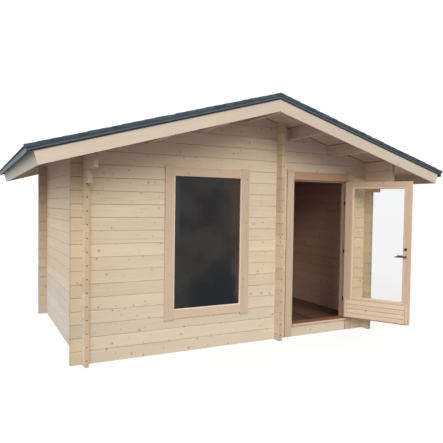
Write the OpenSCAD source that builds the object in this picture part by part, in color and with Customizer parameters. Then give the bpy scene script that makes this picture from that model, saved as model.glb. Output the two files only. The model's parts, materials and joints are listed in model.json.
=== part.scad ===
// Outdoor log sauna: two rooms of machined logs under a low gable roof that runs front to back.
// Millimetres. The origin is the centre of the footprint at ground level, +X to the right, +Y to the back.
// Front and back logs lie on whole courses. Side and partition logs lie half a course higher, so that
// each crossing log is notched a quarter course deep, above and below, and the cores close the corner.

/* [Logs] */
// Height that one log adds to a wall
course = 135; // [120:1:145]
// Thickness of a log
log_t = 44; // [36:1:58]
// How far the log ends stand out past the wall they cross
log_end = 116; // [70:1:150]
// Depth of the V joint between two logs
vee = 5; // [2:0.5:8]

/* [Walls] */
// Width over the outer faces of the side walls
wall_w = 3760; // [3500:10:4200]
// Depth over the outer faces of the front and back walls
wall_d = 2590; // [2300:10:3400]
// Middle of the partition, right of the centre
partition_x = 442; // [380:1:500]
// How far the stepped logs under the eaves reach out past the front and back walls
step_reach = 240; // [180:1:300]
// How far the eaves logs reach out past the front and back walls
eaves_reach = 470; // [380:1:560]

/* [Window] */
// Middle of the window, from the centre
window_x = -490; // [-560:1:-420]
// Clear width of the window
window_w = 835; // [600:1:900]
// Height of the clear window's lower edge above the ground
window_sill = 472; // [380:1:900]
// Thickness of the window glass
pane_t = 6; // [4:1:24]
// How far the glass lies behind the wall's outer face
pane_in = 4; // [2:1:50]

/* [Doorway] */
// Middle of the doorway, from the centre
door_x = 1100; // [1070:1:1130]
// Clear width of the doorway
door_w = 800; // [700:1:820]
// Width of a frame's face, round the door and the window
frame_w = 45; // [40:1:50]
// Depth of the door frame and the window frame
frame_d = 80; // [70:1:110]
// Gap between a frame and the logs
frame_gap = 3; // [2:0.5:6]
// Gap over a frame that lets the logs settle
settle = 8; // [5:1:20]
// Thickness of the threshold board
threshold_t = 30; // [22:1:40]
// How far the threshold stands out in front of the wall
threshold_out = 30; // [10:1:60]

/* [Casings] */
// Width of the window's side casings
window_casing_w = 105; // [80:1:130]
// Width of the door's side casings
door_casing_w = 100; // [80:1:120]
// Width of the casings over and under an opening
cross_casing_w = 95; // [70:1:120]
// Thickness of the casings
casing_t = 20; // [14:1:24]
// How far the window's side casings run past the cross ones
window_casing_past = 16; // [0:1:40]
// How far the door's side casings run past the head casing
door_casing_past = 46; // [0:1:60]

/* [Door leaf] */
// Thickness of the leaf
leaf_t = 40; // [34:1:48]
// How much the leaf laps the frame at its sides and head
leaf_lap = 12; // [8:1:16]
// Gap round the closed leaf
leaf_gap = 5; // [5:0.5:7]
// Gap between the threshold and the leaf
leaf_sill_gap = 18; // [5:1:25]
// Width of the free stile and the top rail
stile_w = 92; // [80:1:120]
// Width of the stile on the hinge side
hinge_stile_w = 112; // [90:1:140]
// Height of the foot boards
foot_h = 237; // [180:1:360]
// Number of boards in the foot
foot_boards = 4; // [3:1:8]
// Thickness of the foot boards on the room side
foot_board_t = 12; // [8:1:18]
// Width of the strips at the ends of the foot boards
foot_strip_w = 28; // [20:1:45]
// Height of the rail that shows between the foot boards and the glass
rail_show = 30; // [15:1:60]
// Thickness of the leaf's glass
leaf_pane_t = 5; // [4:1:12]
// How far the leaf stands open
door_open = 121; // [0:1:142]

/* [Hinges and handle] */
// Height of one hinge
hinge_h = 100; // [70:1:140]
// Distance from the leaf's end to the middle of an end hinge
hinge_inset = 255; // [150:1:350]
// Radius of a hinge knuckle
knuckle_r = 7; // [6:0.5:8]
// Radius of a hinge pin
pin_r = 4; // [3:0.5:5]
// How far the hinge axis stands out in front of the frame
axis_out = 8; // [8:0.5:10]
// Height of the lever handle above the leaf's foot
handle_h = 839; // [700:1:1000]
// Distance from the leaf's free edge to the handle's spindle
backset = 60; // [45:1:80]
// Distance from the spindle up to the lock cylinder
cylinder_up = 92; // [70:1:110]
// Length of the lever's grip
lever_l = 118; // [90:1:135]
// How far the grip stands off the leaf
lever_out = 52; // [40:1:65]

/* [Roof] */
// Slope of the roof, in degrees
slope = 15.8; // [12:0.1:19]
// Height of the roof boards' underside at a side wall, above the underside of the eaves logs
eaves_rise = 255.5; // [200:0.5:330]
// How far the roof boards reach past the side walls
eave_out = 515; // [350:1:620]
// How far the roof boards reach past the front and back walls
gable_out = 660; // [580:1:800]
// Thickness of the roof boards
board_t = 20; // [16:1:28]
// Width of a roof or floor board, before it is fitted to a whole number of them
board_w = 112; // [90:1:150]
// Thickness of a purlin
purlin_t = 45; // [36:1:70]
// Height of a purlin's uphill face
purlin_h = 145; // [100:1:170]
// Distance between purlins, measured level
purlin_pitch = 608; // [560:1:620]
// Width of the barge boards and the eave fascias
barge_w = 145; // [110:1:180]
// Thickness of the barge boards and the eave fascias
barge_t = 20; // [16:1:28]

/* [Roofing] */
// Thickness of the roofing over the boards
felt_t = 8; // [4:1:12]
// Height of the roofing's raised edge above the roofing
verge_h = 27; // [15:1:40]
// Width of the roofing's raised edge
verge_w = 38; // [25:1:60]
// How far the roofing's folded edge covers the barge board
fold_down = 25; // [10:1:40]
// Thickness of the folded edge
fold_t = 4; // [3:0.5:6]
// How far the roofing reaches past the fascias
drip_out = 55; // [20:1:80]
// How far the roofing's lower end folds down below the top of the fascias
eave_fold = 38; // [10:1:60]
// Height of the fillet that lifts the roofing's lower end
fillet_h = 20; // [8:1:24]
// Width of that fillet, down the slope
fillet_w = 90; // [50:1:140]
// Width of the ridge cap on each slope
cap_w = 150; // [100:1:200]
// Thickness of the ridge cap
cap_t = 5; // [3:1:8]

/* [Floor] */
// Width of a floor bearer
bearer_w = 48; // [36:1:75]
// Thickness of the floor boards
floor_t = 20; // [16:1:30]
// Gap between the floor and the walls
floor_gap = 6; // [3:1:12]
// Clear width of the inner doorway
inner_door_w = 700; // [600:1:800]

/* [Hidden] */

$fn = 48;
cut = 1;                                   // how far a cutting shape runs past what it cuts
half = 0.5;
notch = course / 4;                        // depth of a corner notch, above and below each log
side_x = wall_w / 2;                       // outer faces of the side walls
front_y = -wall_d / 2;                     // outer face of the front wall
head_z = 14.75 * course;                   // top of the openings in the front wall
clear_top = head_z - settle - frame_w;     // top of the clear doorway and window
partition_head_z = 14.25 * course;         // top of the inner doorway
bearer_h = course - floor_t;               // the floor lies level with the sill logs
step_z = 13.5 * course;                    // underside of the stepped logs
eaves_z = 14.5 * course;                   // underside of the eaves logs
cross_z = 16 * course;                     // top of the gable logs that cross the side walls
soffit_apex = eaves_z + eaves_rise + side_x * tan(slope);  // roof boards' underside at the ridge
tall = soffit_apex + course;               // above every log

window_cut = window_w / 2 + frame_w + frame_gap;
door_cut = door_w / 2 + frame_w + frame_gap;
window_cut_z = window_sill - frame_w - frame_gap;

roof_run = side_x + eave_out;              // level distance from the ridge to the boards' lower end
slope_l = roof_run / cos(slope);
roof_l = wall_d + 2 * gable_out;
roof_boards_n = round(roof_l / board_w);
board_vee = 4;                             // depth of the V joint between two boards
seat = 0.05;                               // play between the roof boards and the purlins
barge_drop = 3;                            // how far the barge boards' top lies under the roof boards' top
barge_n = board_t - barge_drop;            // top of the barge boards, above the boards' underside
felt_n = board_t + felt_t;                 // top of the roofing
verge_y = roof_l / 2 + barge_t;            // outer face of the barge boards
drip_n = barge_n - fold_down;              // lower edge of the roofing's folds at the verges
eave_drip_n = barge_n - eave_fold;         // lower edge of the roofing's folds at the eaves

threshold_z = course + threshold_t;
leaf_w = door_w + 2 * leaf_lap;
leaf_z = threshold_z + leaf_sill_gap;
leaf_top = clear_top + leaf_lap;
leaf_l = leaf_top - leaf_z;
rebate = leaf_lap + leaf_gap;
stop_y = leaf_t + leaf_gap;                // how far back the frame's stop lies
axis_x = door_x + leaf_w / 2 + leaf_gap / 2;
axis_y = front_y - axis_out;
door_reveal = 13.5;                        // how far the door's casings stand back from the rebate
door_casing_x = door_w / 2 + rebate + door_reveal;
head_reveal = 2;                           // how far the head casing lies above the rebate
casing_foot = 10;
foot_inset = 20;                           // how far the foot's strips stop short of the leaf's edges
strip_out = 4;                             // how far the strips and the capping stand out past the boards
plate_t = 1.5;                             // thickness of the hinge plates
plate_inset = 4;                           // how far the hinge plates stop short of the leaf's room side
knuckle_cap = 3;                           // closed end of a knuckle over its pin
pin_end_gap = 1;
rose_r = 18;
rose_t = 8;
lever_r = 7.5;
spindle_r = 6.5;
run_gap = 0.06;                            // radial play of a pin in its bore

pine = "#dcc9a6";
spruce = "#e3d5b8";
dark_felt = "#3a434d";
steel = "#b8bbbd";
black_steel = "#2a2a2b";
orange_pine = "#c98f5f";

// Height of the roof boards' underside at a distance from the ridge.
function soffit(x) = soffit_apex - abs(x) * tan(slope);
// Whether a height is a joint between logs whose stack starts at a share of a course.
function on_joint(z, off) = abs(z / course - off - round(z / course - off)) < 0.001;
// Heights of the joints inside a stack.
function joints(z0, z1, off) = [
  for (k = [0 : ceil(z1 / course)]) let (z = (k + off) * course) if (z > z0 + vee && z < z1 - vee) z
];
// One face of a stack of logs, bottom to top, as [depth, height].
function log_face(z0, z1, off) = concat(
  on_joint(z0, off) && z0 > 0 ? [[vee, z0], [0, z0 + vee]] : [[0, z0]],
  [for (z = joints(z0, z1, off)) each [[0, z - vee], [vee, z], [0, z + vee]]],
  on_joint(z1, off) ? [[0, z1 - vee], [vee, z1]] : [[0, z1]]
);
function reversed(list) = [for (i = [len(list) - 1 : -1 : 0]) list[i]];
// Section of a stack of logs.
function log_section(z0, z1, off) = concat(
  log_face(z0, z1, off),
  [for (p = reversed(log_face(z0, z1, off))) [log_t - p[0], p[1]]]
);
// Point at a distance down the slope and a height above the boards' underside.
function on_slope(s, n) = [s * cos(slope) + n * sin(slope), soffit_apex - s * sin(slope) + n * cos(slope)];

// Sweeps a [y, z] section from x0 to x1.
module along_x(x0, x1, section) {
  translate([x0, 0, 0]) rotate([90, 0, 90]) linear_extrude(x1 - x0) polygon(section);
}
// Sweeps an [x, z] section from y0 to y1.
module along_y(y0, y1, section) {
  translate([0, y1, 0]) rotate([90, 0, 0]) linear_extrude(y1 - y0) polygon(section);
}
module box(x0, x1, y0, y1, z0, z1) {
  translate([x0, y0, z0]) cube([x1 - x0, y1 - y0, z1 - z0]);
}
module on_left() {
  mirror([1, 0, 0]) children();
}
// Keeps what lies under the roof boards.
module under_roof(reach) {
  intersection() {
    children();
    along_y(front_y - reach - cut, -front_y + reach + cut,
      [[-roof_run, 0], [roof_run, 0], [roof_run, soffit(roof_run)], [0, soffit_apex],
       [-roof_run, soffit(roof_run)]]);
  }
}
// Logs of a front or back wall between two heights. outer_y is the face nearest the front.
module cross_logs(x0, x1, outer_y, z0, z1) {
  difference() {
    translate([0, outer_y, 0]) along_x(x0, x1, log_section(z0, z1, 0));
    for (wall_x = [log_t / 2 - side_x, partition_x, side_x - log_t / 2])
      if (wall_x > x0 && wall_x < x1)
        for (k = [floor(z0 / course) : ceil(z1 / course)])
          box(wall_x - log_t / 2, wall_x + log_t / 2, outer_y - cut, outer_y + log_t + cut,
            k * course - notch, k * course + notch);
  }
}
// Logs of a side wall or the partition between two heights. left_x is the left face.
module length_logs(y0, y1, left_x, z0, z1) {
  difference() {
    translate([left_x, 0, 0]) along_y(y0, y1, log_section(z0, z1, half));
    for (wall_y = [front_y, -front_y - log_t])
      if (wall_y > y0 && wall_y < y1)
        for (k = [floor(z0 / course) - 1 : ceil(z1 / course)])
          box(left_x - cut, left_x + log_t + cut, wall_y, wall_y + log_t,
            (k + half) * course - notch, (k + half) * course + notch);
  }
}
// Section of a purlin whose middle is at x. Its top lies at a distance over the boards' underside.
function purlin_section(x, over) = let (
  x0 = x - purlin_t / 2, x1 = x + purlin_t / 2, foot = max(soffit(x0), soffit(x1)) - purlin_h
) x == 0
  ? [[x0, foot], [x1, foot], [x1, soffit(x1) + over], [0, soffit_apex + over], [x0, soffit(x0) + over]]
  : [[x0, foot], [x1, foot], [x1, soffit(x1) + over], [x0, soffit(x0) + over]];
module purlin(x) {
  along_y(-roof_l / 2, roof_l / 2, purlin_section(x, -seat));
}
module gable_pockets() {
  for (i = [-2 : 2]) along_y(-roof_l / 2, roof_l / 2, purlin_section(i * purlin_pitch, board_t));
}

// Walls
module front_sill_log() {
  color(pine) cross_logs(-side_x - log_end, side_x + log_end, front_y, 0, course);
}
module front_wall_corner() {
  color(pine) cross_logs(-side_x - log_end, window_x - window_cut, front_y, course, head_z);
}
module front_wall_under_window() {
  color(pine) cross_logs(window_x - window_cut, window_x + window_cut, front_y, course, window_cut_z);
}
module front_wall_pier() {
  color(pine) cross_logs(window_x + window_cut, door_x - door_cut, front_y, course, head_z);
}
module front_wall_hinge_side() {
  color(pine) cross_logs(door_x + door_cut, side_x + log_end, front_y, course, head_z);
}
module front_gable() {
  color(pine) gable(front_y, head_z);
}
module gable(outer_y, z0) {
  difference() {
    under_roof(0) union() {
      cross_logs(-side_x - log_end, side_x + log_end, outer_y, z0, cross_z);
      cross_logs(-side_x, side_x, outer_y, cross_z, tall);
    }
    gable_pockets();
  }
}
module back_wall() {
  color(pine) gable(-front_y - log_t, 0);
}
module side_wall() {
  length_logs(front_y - log_end, -front_y + log_end, side_x - log_t, 0, step_z);
}
module right_wall() {
  color(pine) side_wall();
}
module left_wall() {
  color(pine) on_left() side_wall();
}
// The upper logs step forward to carry the eaves.
module side_eaves_logs() {
  under_roof(eaves_reach) union() {
    length_logs(front_y - step_reach, -front_y + step_reach, side_x - log_t, step_z, eaves_z);
    length_logs(front_y - eaves_reach, -front_y + eaves_reach, side_x - log_t, eaves_z, tall);
  }
}
module right_eaves_logs() {
  color(pine) side_eaves_logs();
}
module left_eaves_logs() {
  color(pine) on_left() side_eaves_logs();
}
module partition_logs(y0, y1, z0, z1) {
  length_logs(y0, y1, partition_x - log_t / 2, z0, z1);
}
module partition_sill_log() {
  color(pine) partition_logs(front_y - log_end, -front_y + log_end, 0, course);
}
module partition_front() {
  color(pine) partition_logs(front_y - log_end, -inner_door_w / 2, course, partition_head_z);
}
module partition_back() {
  color(pine) partition_logs(inner_door_w / 2, -front_y + log_end, course, partition_head_z);
}
module partition_head() {
  color(pine) under_roof(log_end)
    partition_logs(front_y - log_end, -front_y + log_end, partition_head_z, tall);
}

// Floor
// Left and right ends of the hot room and the dressing room.
rooms = [[-side_x + log_t, partition_x - log_t / 2], [partition_x + log_t / 2, side_x - log_t]];
module floor_bearers() {
  spacing = wall_d / 5;
  for (i = [-2 : 2])
    for (room = rooms)
      color(pine) box(room[0] + floor_gap, room[1] - floor_gap,
        i * spacing - bearer_w / 2, i * spacing + bearer_w / 2, 0, bearer_h);
}
// Boards laid edge to edge with a V joint between them, as a section [across, up].
function board_section(width, count, thick, joint_below) = let (
  pitch = width / count, face = joint_below ? 0 : thick, groove = joint_below ? board_vee : thick - board_vee
) concat(
  [[0, face]],
  [for (i = [1 : count - 1]) each
    [[i * pitch - board_vee, face], [i * pitch, groove], [i * pitch + board_vee, face]]],
  [[width, face], [width, thick - face], [0, thick - face]]
);
module room_floor(x0, x1) {
  width = x1 - x0;
  depth = wall_d / 2 - log_t - floor_gap;
  translate([x0, 0, bearer_h])
    along_y(-depth, depth, board_section(width, round(width / board_w), floor_t, false));
}
module floor_boards() {
  for (room = rooms) color(spruce) room_floor(room[0] + floor_gap, room[1] - floor_gap);
}

// Roof
module ridge_purlin() {
  color(pine) purlin(0);
}
module slope_purlins() {
  for (i = [-2, -1, 1, 2]) color(pine) purlin(i * purlin_pitch);
}
// Sweeps a [y, up] section down the right slope and cuts it plumb over the ridge.
module down_slope(s0, s1, section) {
  intersection() {
    translate([0, 0, soffit_apex]) rotate([0, slope, 0]) along_x(s0, s1, section);
    box(0, 2 * roof_run, -roof_l, roof_l, 0, 2 * soffit_apex);
  }
}
module slope_boards() {
  down_slope(-course, slope_l,
    [for (p = board_section(roof_l, roof_boards_n, board_t, true)) [p[0] - roof_l / 2, p[1]]]);
}
module right_roof_boards() {
  color(spruce) slope_boards();
}
module left_roof_boards() {
  color(spruce) on_left() slope_boards();
}
// The roofing is turned up over a batten at both verges and folded down over the barge boards.
function verge_edge(side) = let (edge = verge_y + fold_t) [
  [side * verge_y, board_t], [side * verge_y, drip_n], [side * edge, drip_n],
  [side * edge, felt_n + verge_h], [side * (edge - verge_w / 2), felt_n + verge_h],
  [side * (edge - verge_w), felt_n]
];
// Its lower end rises over a fillet and folds down, as a section [down the slope, up].
module eave_edge(drip_s) {
  edge = verge_y + fold_t;
  core_n = board_t + felt_t / 2;
  translate([0, 0, soffit_apex]) rotate([0, slope, 0]) along_y(-edge, edge, [
    [drip_s - fold_t, eave_drip_n], [drip_s, eave_drip_n], [drip_s, felt_n + fillet_h],
    [drip_s - fillet_w, felt_n], [drip_s - fillet_w, core_n], [drip_s - fold_t, core_n]
  ]);
}
module slope_roofing() {
  drip_s = slope_l + barge_t + drip_out;
  down_slope(-course, drip_s - fold_t / 2, concat(verge_edge(1), reversed(verge_edge(-1))));
  eave_edge(drip_s);
}
module right_roofing() {
  color(dark_felt) slope_roofing();
}
module left_roofing() {
  color(dark_felt) on_left() slope_roofing();
}
module ridge_cap() {
  l = verge_y + fold_t - verge_w;
  left_end = on_slope(cap_w, felt_n);
  left_top = on_slope(cap_w, felt_n + cap_t);
  color(dark_felt) along_y(-l, l, [
    [0, soffit_apex + felt_n / cos(slope)], left_end, left_top,
    [0, soffit_apex + (felt_n + cap_t) / cos(slope)],
    [-left_top[0], left_top[1]], [-left_end[0], left_end[1]]
  ]);
}
module barge_board(y0) {
  down_slope(-course, slope_l + barge_t, [
    [y0, barge_n - barge_w], [y0 + barge_t, barge_n - barge_w], [y0 + barge_t, barge_n], [y0, barge_n]
  ]);
}
module front_right_barge_board() {
  color(spruce) barge_board(-verge_y);
}
module front_left_barge_board() {
  color(spruce) on_left() barge_board(-verge_y);
}
module back_right_barge_board() {
  color(spruce) barge_board(verge_y - barge_t);
}
module back_left_barge_board() {
  color(spruce) on_left() barge_board(verge_y - barge_t);
}
module fascia() {
  along_y(-roof_l / 2, roof_l / 2, [
    on_slope(slope_l, barge_n - barge_w), on_slope(slope_l + barge_t, barge_n - barge_w),
    on_slope(slope_l + barge_t, barge_n), on_slope(slope_l, barge_n)
  ]);
}
module eave_fascias() {
  color(spruce) fascia();
  color(spruce) on_left() fascia();
}

// Window
pane_y = front_y + pane_in;
bead = 10;                                // how far the frames cover the glass
module window_glass() {
  color("#20262a", 0.7) box(window_x - window_w / 2 - bead, window_x + window_w / 2 + bead,
    pane_y, pane_y + pane_t, window_sill - bead, clear_top + bead);
}
module window_frame() {
  w = window_w / 2;
  color(spruce) difference() {
    box(window_x - w - frame_w, window_x + w + frame_w, front_y, front_y + frame_d,
      window_sill - frame_w, clear_top + frame_w);
    box(window_x - w, window_x + w, front_y - cut, front_y + frame_d + cut, window_sill, clear_top);
    window_glass();
  }
}
module window_side_casings() {
  for (side = [-1, 1]) color(spruce)
    translate([window_x + side * (window_w + window_casing_w) / 2, 0, 0])
      box(-window_casing_w / 2, window_casing_w / 2, front_y - casing_t, front_y,
        window_sill - cross_casing_w - window_casing_past,
        clear_top + cross_casing_w + window_casing_past);
}
module window_cross_casings() {
  for (z = [window_sill - cross_casing_w, clear_top]) color(spruce)
    box(window_x - window_w / 2, window_x + window_w / 2, front_y - casing_t, front_y,
      z, z + cross_casing_w);
}

// Door frame
// Plan of the jamb on the hinge side, from the doorway's middle, as [x, y].
function jamb_plan() = let (w = door_w / 2) [
  [w + rebate, front_y], [w + frame_w, front_y], [w + frame_w, front_y + frame_d],
  [w, front_y + frame_d], [w, front_y + stop_y], [w + rebate, front_y + stop_y]
];
module jamb() {
  translate([0, 0, threshold_z]) linear_extrude(clear_top - threshold_z) polygon(jamb_plan());
}
module door_jambs() {
  color(spruce) translate([door_x, 0, 0]) jamb();
  color(spruce) translate([door_x, 0, 0]) on_left() jamb();
}
module door_head() {
  w = door_w / 2;
  color(spruce) difference() {
    box(door_x - w - frame_w, door_x + w + frame_w, front_y, front_y + frame_d,
      clear_top, clear_top + frame_w);
    box(door_x - w - rebate, door_x + w + rebate, front_y - cut, front_y + stop_y,
      clear_top - cut, clear_top + rebate);
  }
}
module threshold() {
  color(orange_pine) union() {
    box(door_x - door_cut + frame_gap, door_x + door_cut - frame_gap, front_y, front_y + frame_d + board_t,
      course, threshold_z);
    box(door_x - door_casing_x, door_x + door_casing_x, front_y - threshold_out, front_y + cut,
      course, threshold_z);
  }
}
module side_casing() {
  box(door_casing_x, door_casing_x + door_casing_w, front_y - casing_t, front_y,
    casing_foot, clear_top + cross_casing_w + door_casing_past);
}
module door_side_casings() {
  color(spruce) translate([door_x, 0, 0]) side_casing();
  color(spruce) translate([door_x, 0, 0]) on_left() side_casing();
}
module door_head_casing() {
  z = clear_top + rebate + head_reveal;
  color(spruce) box(door_x - door_casing_x, door_x + door_casing_x, front_y - casing_t, front_y,
    z, z + cross_casing_w);
}

// Door leaf, drawn closed and then swung open on its hinges
module swung() {
  translate([axis_x, axis_y, 0]) rotate([0, 0, door_open]) translate([-axis_x, -axis_y, 0]) children();
}
hinge_zs = [leaf_z + hinge_inset, (leaf_z + leaf_top) / 2, leaf_top - hinge_inset];
leaf_x0 = door_x - leaf_w / 2;
leaf_x1 = door_x + leaf_w / 2;
leaf_y1 = front_y + leaf_t;
cap_z = leaf_z + foot_h;                   // underside of the foot's capping
light_z = cap_z + bead + rail_show;        // lower edge of the leaf's glass opening
light_x0 = leaf_x0 + stile_w;
light_x1 = leaf_x1 - hinge_stile_w;
leaf_pane_y = front_y + (leaf_t - leaf_pane_t) / 2;
handle_x = leaf_x0 + backset;
handle_z = leaf_z + handle_h;

module leaf_pane() {
  box(light_x0 - bead, light_x1 + bead, leaf_pane_y, leaf_pane_y + leaf_pane_t,
    light_z - bead, leaf_top - stile_w + bead);
}
module leaf_glass() {
  color("#c8d4d6", 0.35) swung() leaf_pane();
}
module foot_panel_space() {
  box(light_x0, light_x1, front_y - cut, leaf_y1 + cut, leaf_z + stile_w, cap_z - bead);
}
module leaf_frame() {
  color(spruce) swung() difference() {
    box(leaf_x0, leaf_x1, front_y, leaf_y1, leaf_z, leaf_top);
    box(light_x0, light_x1, front_y - cut, leaf_y1 + cut, light_z, leaf_top - stile_w);
    leaf_pane();
    foot_panel_space();
    lever_bore();
  }
}
module lever_bore() {
  translate([handle_x, front_y - cut, handle_z]) rotate([-90, 0, 0])
    cylinder(r = spindle_r + leaf_gap, h = leaf_t + 2 * cut);
}
// Boards on the room side lap the frame, between end strips and under a capping. A plain panel behind
// them fills the frame.
module leaf_foot_boards() {
  x0 = leaf_x0 + foot_inset;
  x1 = leaf_x1 - foot_inset;
  out = foot_board_t + strip_out;
  color(spruce) swung() union() {
    translate([0, leaf_y1, leaf_z]) along_x(x0 + foot_strip_w / 2, x1 - foot_strip_w / 2,
      [for (p = board_section(foot_h, foot_boards, foot_board_t, false)) [p[1], p[0]]]);
    for (x = [x0, x1 - foot_strip_w])
      box(x, x + foot_strip_w, leaf_y1, leaf_y1 + out, leaf_z, cap_z + bead / 2);
    box(x0, x1, leaf_y1, leaf_y1 + out, cap_z, cap_z + bead);
    intersection() {
      foot_panel_space();
      box(leaf_x0, leaf_x1, leaf_y1 - leaf_t / 2, leaf_y1 + cut, leaf_z, leaf_top);
    }
  }
}
// One hinge half: a knuckle from z0 up and a plate beside it.
module hinge_half(z0, h, plate_x) {
  translate([axis_x, axis_y, z0]) cylinder(r = knuckle_r, h = h);
  box(plate_x, plate_x + plate_t, axis_y, front_y + leaf_t - plate_inset, z0, z0 + h);
}
module frame_hinges() {
  h = hinge_h / 2 - run_gap;
  for (z = hinge_zs) color(black_steel) union() {
    hinge_half(z - hinge_h / 2, h, door_x + door_w / 2 + rebate - plate_t);
    translate([axis_x, axis_y, z - hinge_h / 2]) cylinder(r = pin_r, h = hinge_h - knuckle_cap - pin_end_gap);
  }
}
module leaf_hinges() {
  h = hinge_h / 2 - run_gap;
  for (z = hinge_zs) color(black_steel) swung() difference() {
    hinge_half(z + run_gap, h, leaf_x1);
    translate([axis_x, axis_y, z - cut]) cylinder(r = pin_r + run_gap, h = h + cut - knuckle_cap);
  }
}
// Roses on both faces: a round one at the lever and one at the lock cylinder.
module rose(z, hole_r) {
  for (face = [front_y - rose_t, leaf_y1])
    translate([handle_x, face, z]) rotate([-90, 0, 0]) difference() {
      cylinder(r = rose_r, h = rose_t);
      if (hole_r > 0) translate([0, 0, -cut]) cylinder(r = hole_r, h = rose_t + 2 * cut);
    }
}
module handle_roses() {
  color(steel) swung() {
    rose(handle_z, spindle_r + half);
    rose(handle_z + cylinder_up, 0);
  }
}
// A lever on each face, joined by the spindle that passes through the leaf.
module lever_handle() {
  color(steel) swung() translate([handle_x, 0, handle_z]) union() {
    translate([0, front_y - lever_out, 0]) rotate([-90, 0, 0])
      cylinder(r = spindle_r, h = leaf_t + 2 * lever_out);
    for (y = [front_y - lever_out, leaf_y1 + lever_out])
      translate([0, y, 0]) rotate([0, 90, 0]) grip();
  }
}
// A round bar with eased ends, from a little behind the spindle to the lever's tip.
module grip() {
  ease = 3;
  translate([0, 0, -lever_r]) cylinder(r1 = lever_r - ease, r2 = lever_r, h = ease);
  translate([0, 0, ease - lever_r]) cylinder(r = lever_r, h = lever_l + lever_r - 2 * ease);
  translate([0, 0, lever_l - ease]) cylinder(r1 = lever_r, r2 = lever_r - ease, h = ease);
}

front_sill_log();
front_wall_corner();
front_wall_under_window();
front_wall_pier();
front_wall_hinge_side();
front_gable();
back_wall();
left_wall();
left_eaves_logs();
right_wall();
right_eaves_logs();
partition_sill_log();
partition_front();
partition_back();
partition_head();
floor_bearers();
floor_boards();
ridge_purlin();
slope_purlins();
left_roof_boards();
right_roof_boards();
left_roofing();
right_roofing();
ridge_cap();
front_left_barge_board();
front_right_barge_board();
back_left_barge_board();
back_right_barge_board();
eave_fascias();
window_frame();
window_glass();
window_side_casings();
window_cross_casings();
door_jambs();
door_head();
threshold();
door_side_casings();
door_head_casing();
frame_hinges();
leaf_frame();
leaf_foot_boards();
leaf_glass();
leaf_hinges();
handle_roses();
lever_handle();
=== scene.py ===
"""Looks of an outdoor log sauna: knotty logs, spruce boards, blue shingles, dark and clear glass.

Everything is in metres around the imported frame, with +Z up, +X to the right and +Y to the back.
"""

import json
import logging
import math
import random
from dataclasses import dataclass, field
from enum import Enum
from typing import Callable, Sequence, Union

import bmesh
import bpy
import numpy as np
from mathutils import Euler, Matrix, Vector


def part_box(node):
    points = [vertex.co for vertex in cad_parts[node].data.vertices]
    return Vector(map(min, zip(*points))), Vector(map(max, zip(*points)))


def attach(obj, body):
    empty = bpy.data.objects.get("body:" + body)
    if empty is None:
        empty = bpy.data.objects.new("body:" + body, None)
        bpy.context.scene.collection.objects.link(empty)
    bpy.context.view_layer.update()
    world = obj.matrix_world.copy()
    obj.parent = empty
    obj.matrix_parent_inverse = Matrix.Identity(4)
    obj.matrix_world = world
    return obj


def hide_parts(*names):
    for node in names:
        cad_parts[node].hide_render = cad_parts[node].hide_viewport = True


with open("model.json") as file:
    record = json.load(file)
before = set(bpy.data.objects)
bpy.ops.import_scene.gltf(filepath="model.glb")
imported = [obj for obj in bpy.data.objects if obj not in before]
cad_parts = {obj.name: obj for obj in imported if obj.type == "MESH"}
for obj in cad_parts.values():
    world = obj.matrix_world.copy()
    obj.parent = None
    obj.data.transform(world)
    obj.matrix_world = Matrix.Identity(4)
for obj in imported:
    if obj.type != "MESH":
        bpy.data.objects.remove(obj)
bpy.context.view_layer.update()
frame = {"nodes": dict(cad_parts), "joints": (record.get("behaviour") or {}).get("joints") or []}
LOG = logging.getLogger("log_sauna")

Colour = tuple[float, float, float]
Value = Union["Shade", float]
Tint = Union["Shade", Colour]
BMesh = bmesh.types.BMesh
Object = bpy.types.Object
GRAIN = "grain"          # attribute: distance along, across and into the board
TONE = "tone"            # attribute: one random number for each board, tab or head
END = "end_cut"          # attribute: 1 on a board's sawn ends
MM = 0.001


class Axis(Enum):
    """The three directions of the shared frame."""

    X = 0
    Y = 1
    Z = 2


# Node trees


def operator(operation: str, turned: bool = False) -> Callable[..., "Shade"]:
    """Makes one of the operators of a Shade.

    Args:
        operation: what the Math node does.
        turned: whether the other number comes first.

    Returns:
        The method.
    """

    def apply(self: "Shade", other: Value = 0.0) -> "Shade":
        """The outcome as a new socket."""
        return self.bench.sum(operation, *((other, self) if turned else (self, other)))

    return apply


class Shade:
    """A socket of a node tree that Python sums can use."""

    def __init__(self, bench: "Bench", socket: bpy.types.NodeSocket) -> None:
        """Wraps a socket that belongs to the bench's tree."""
        self.bench = bench
        self.socket = socket

    __add__ = __radd__ = operator("ADD")
    __sub__ = operator("SUBTRACT")
    __rsub__ = operator("SUBTRACT", True)
    __mul__ = __rmul__ = operator("MULTIPLY")
    __truediv__ = operator("DIVIDE")
    __pow__ = operator("POWER")
    __gt__ = operator("GREATER_THAN")
    __lt__ = operator("LESS_THAN")
    __abs__ = operator("ABSOLUTE")


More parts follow.
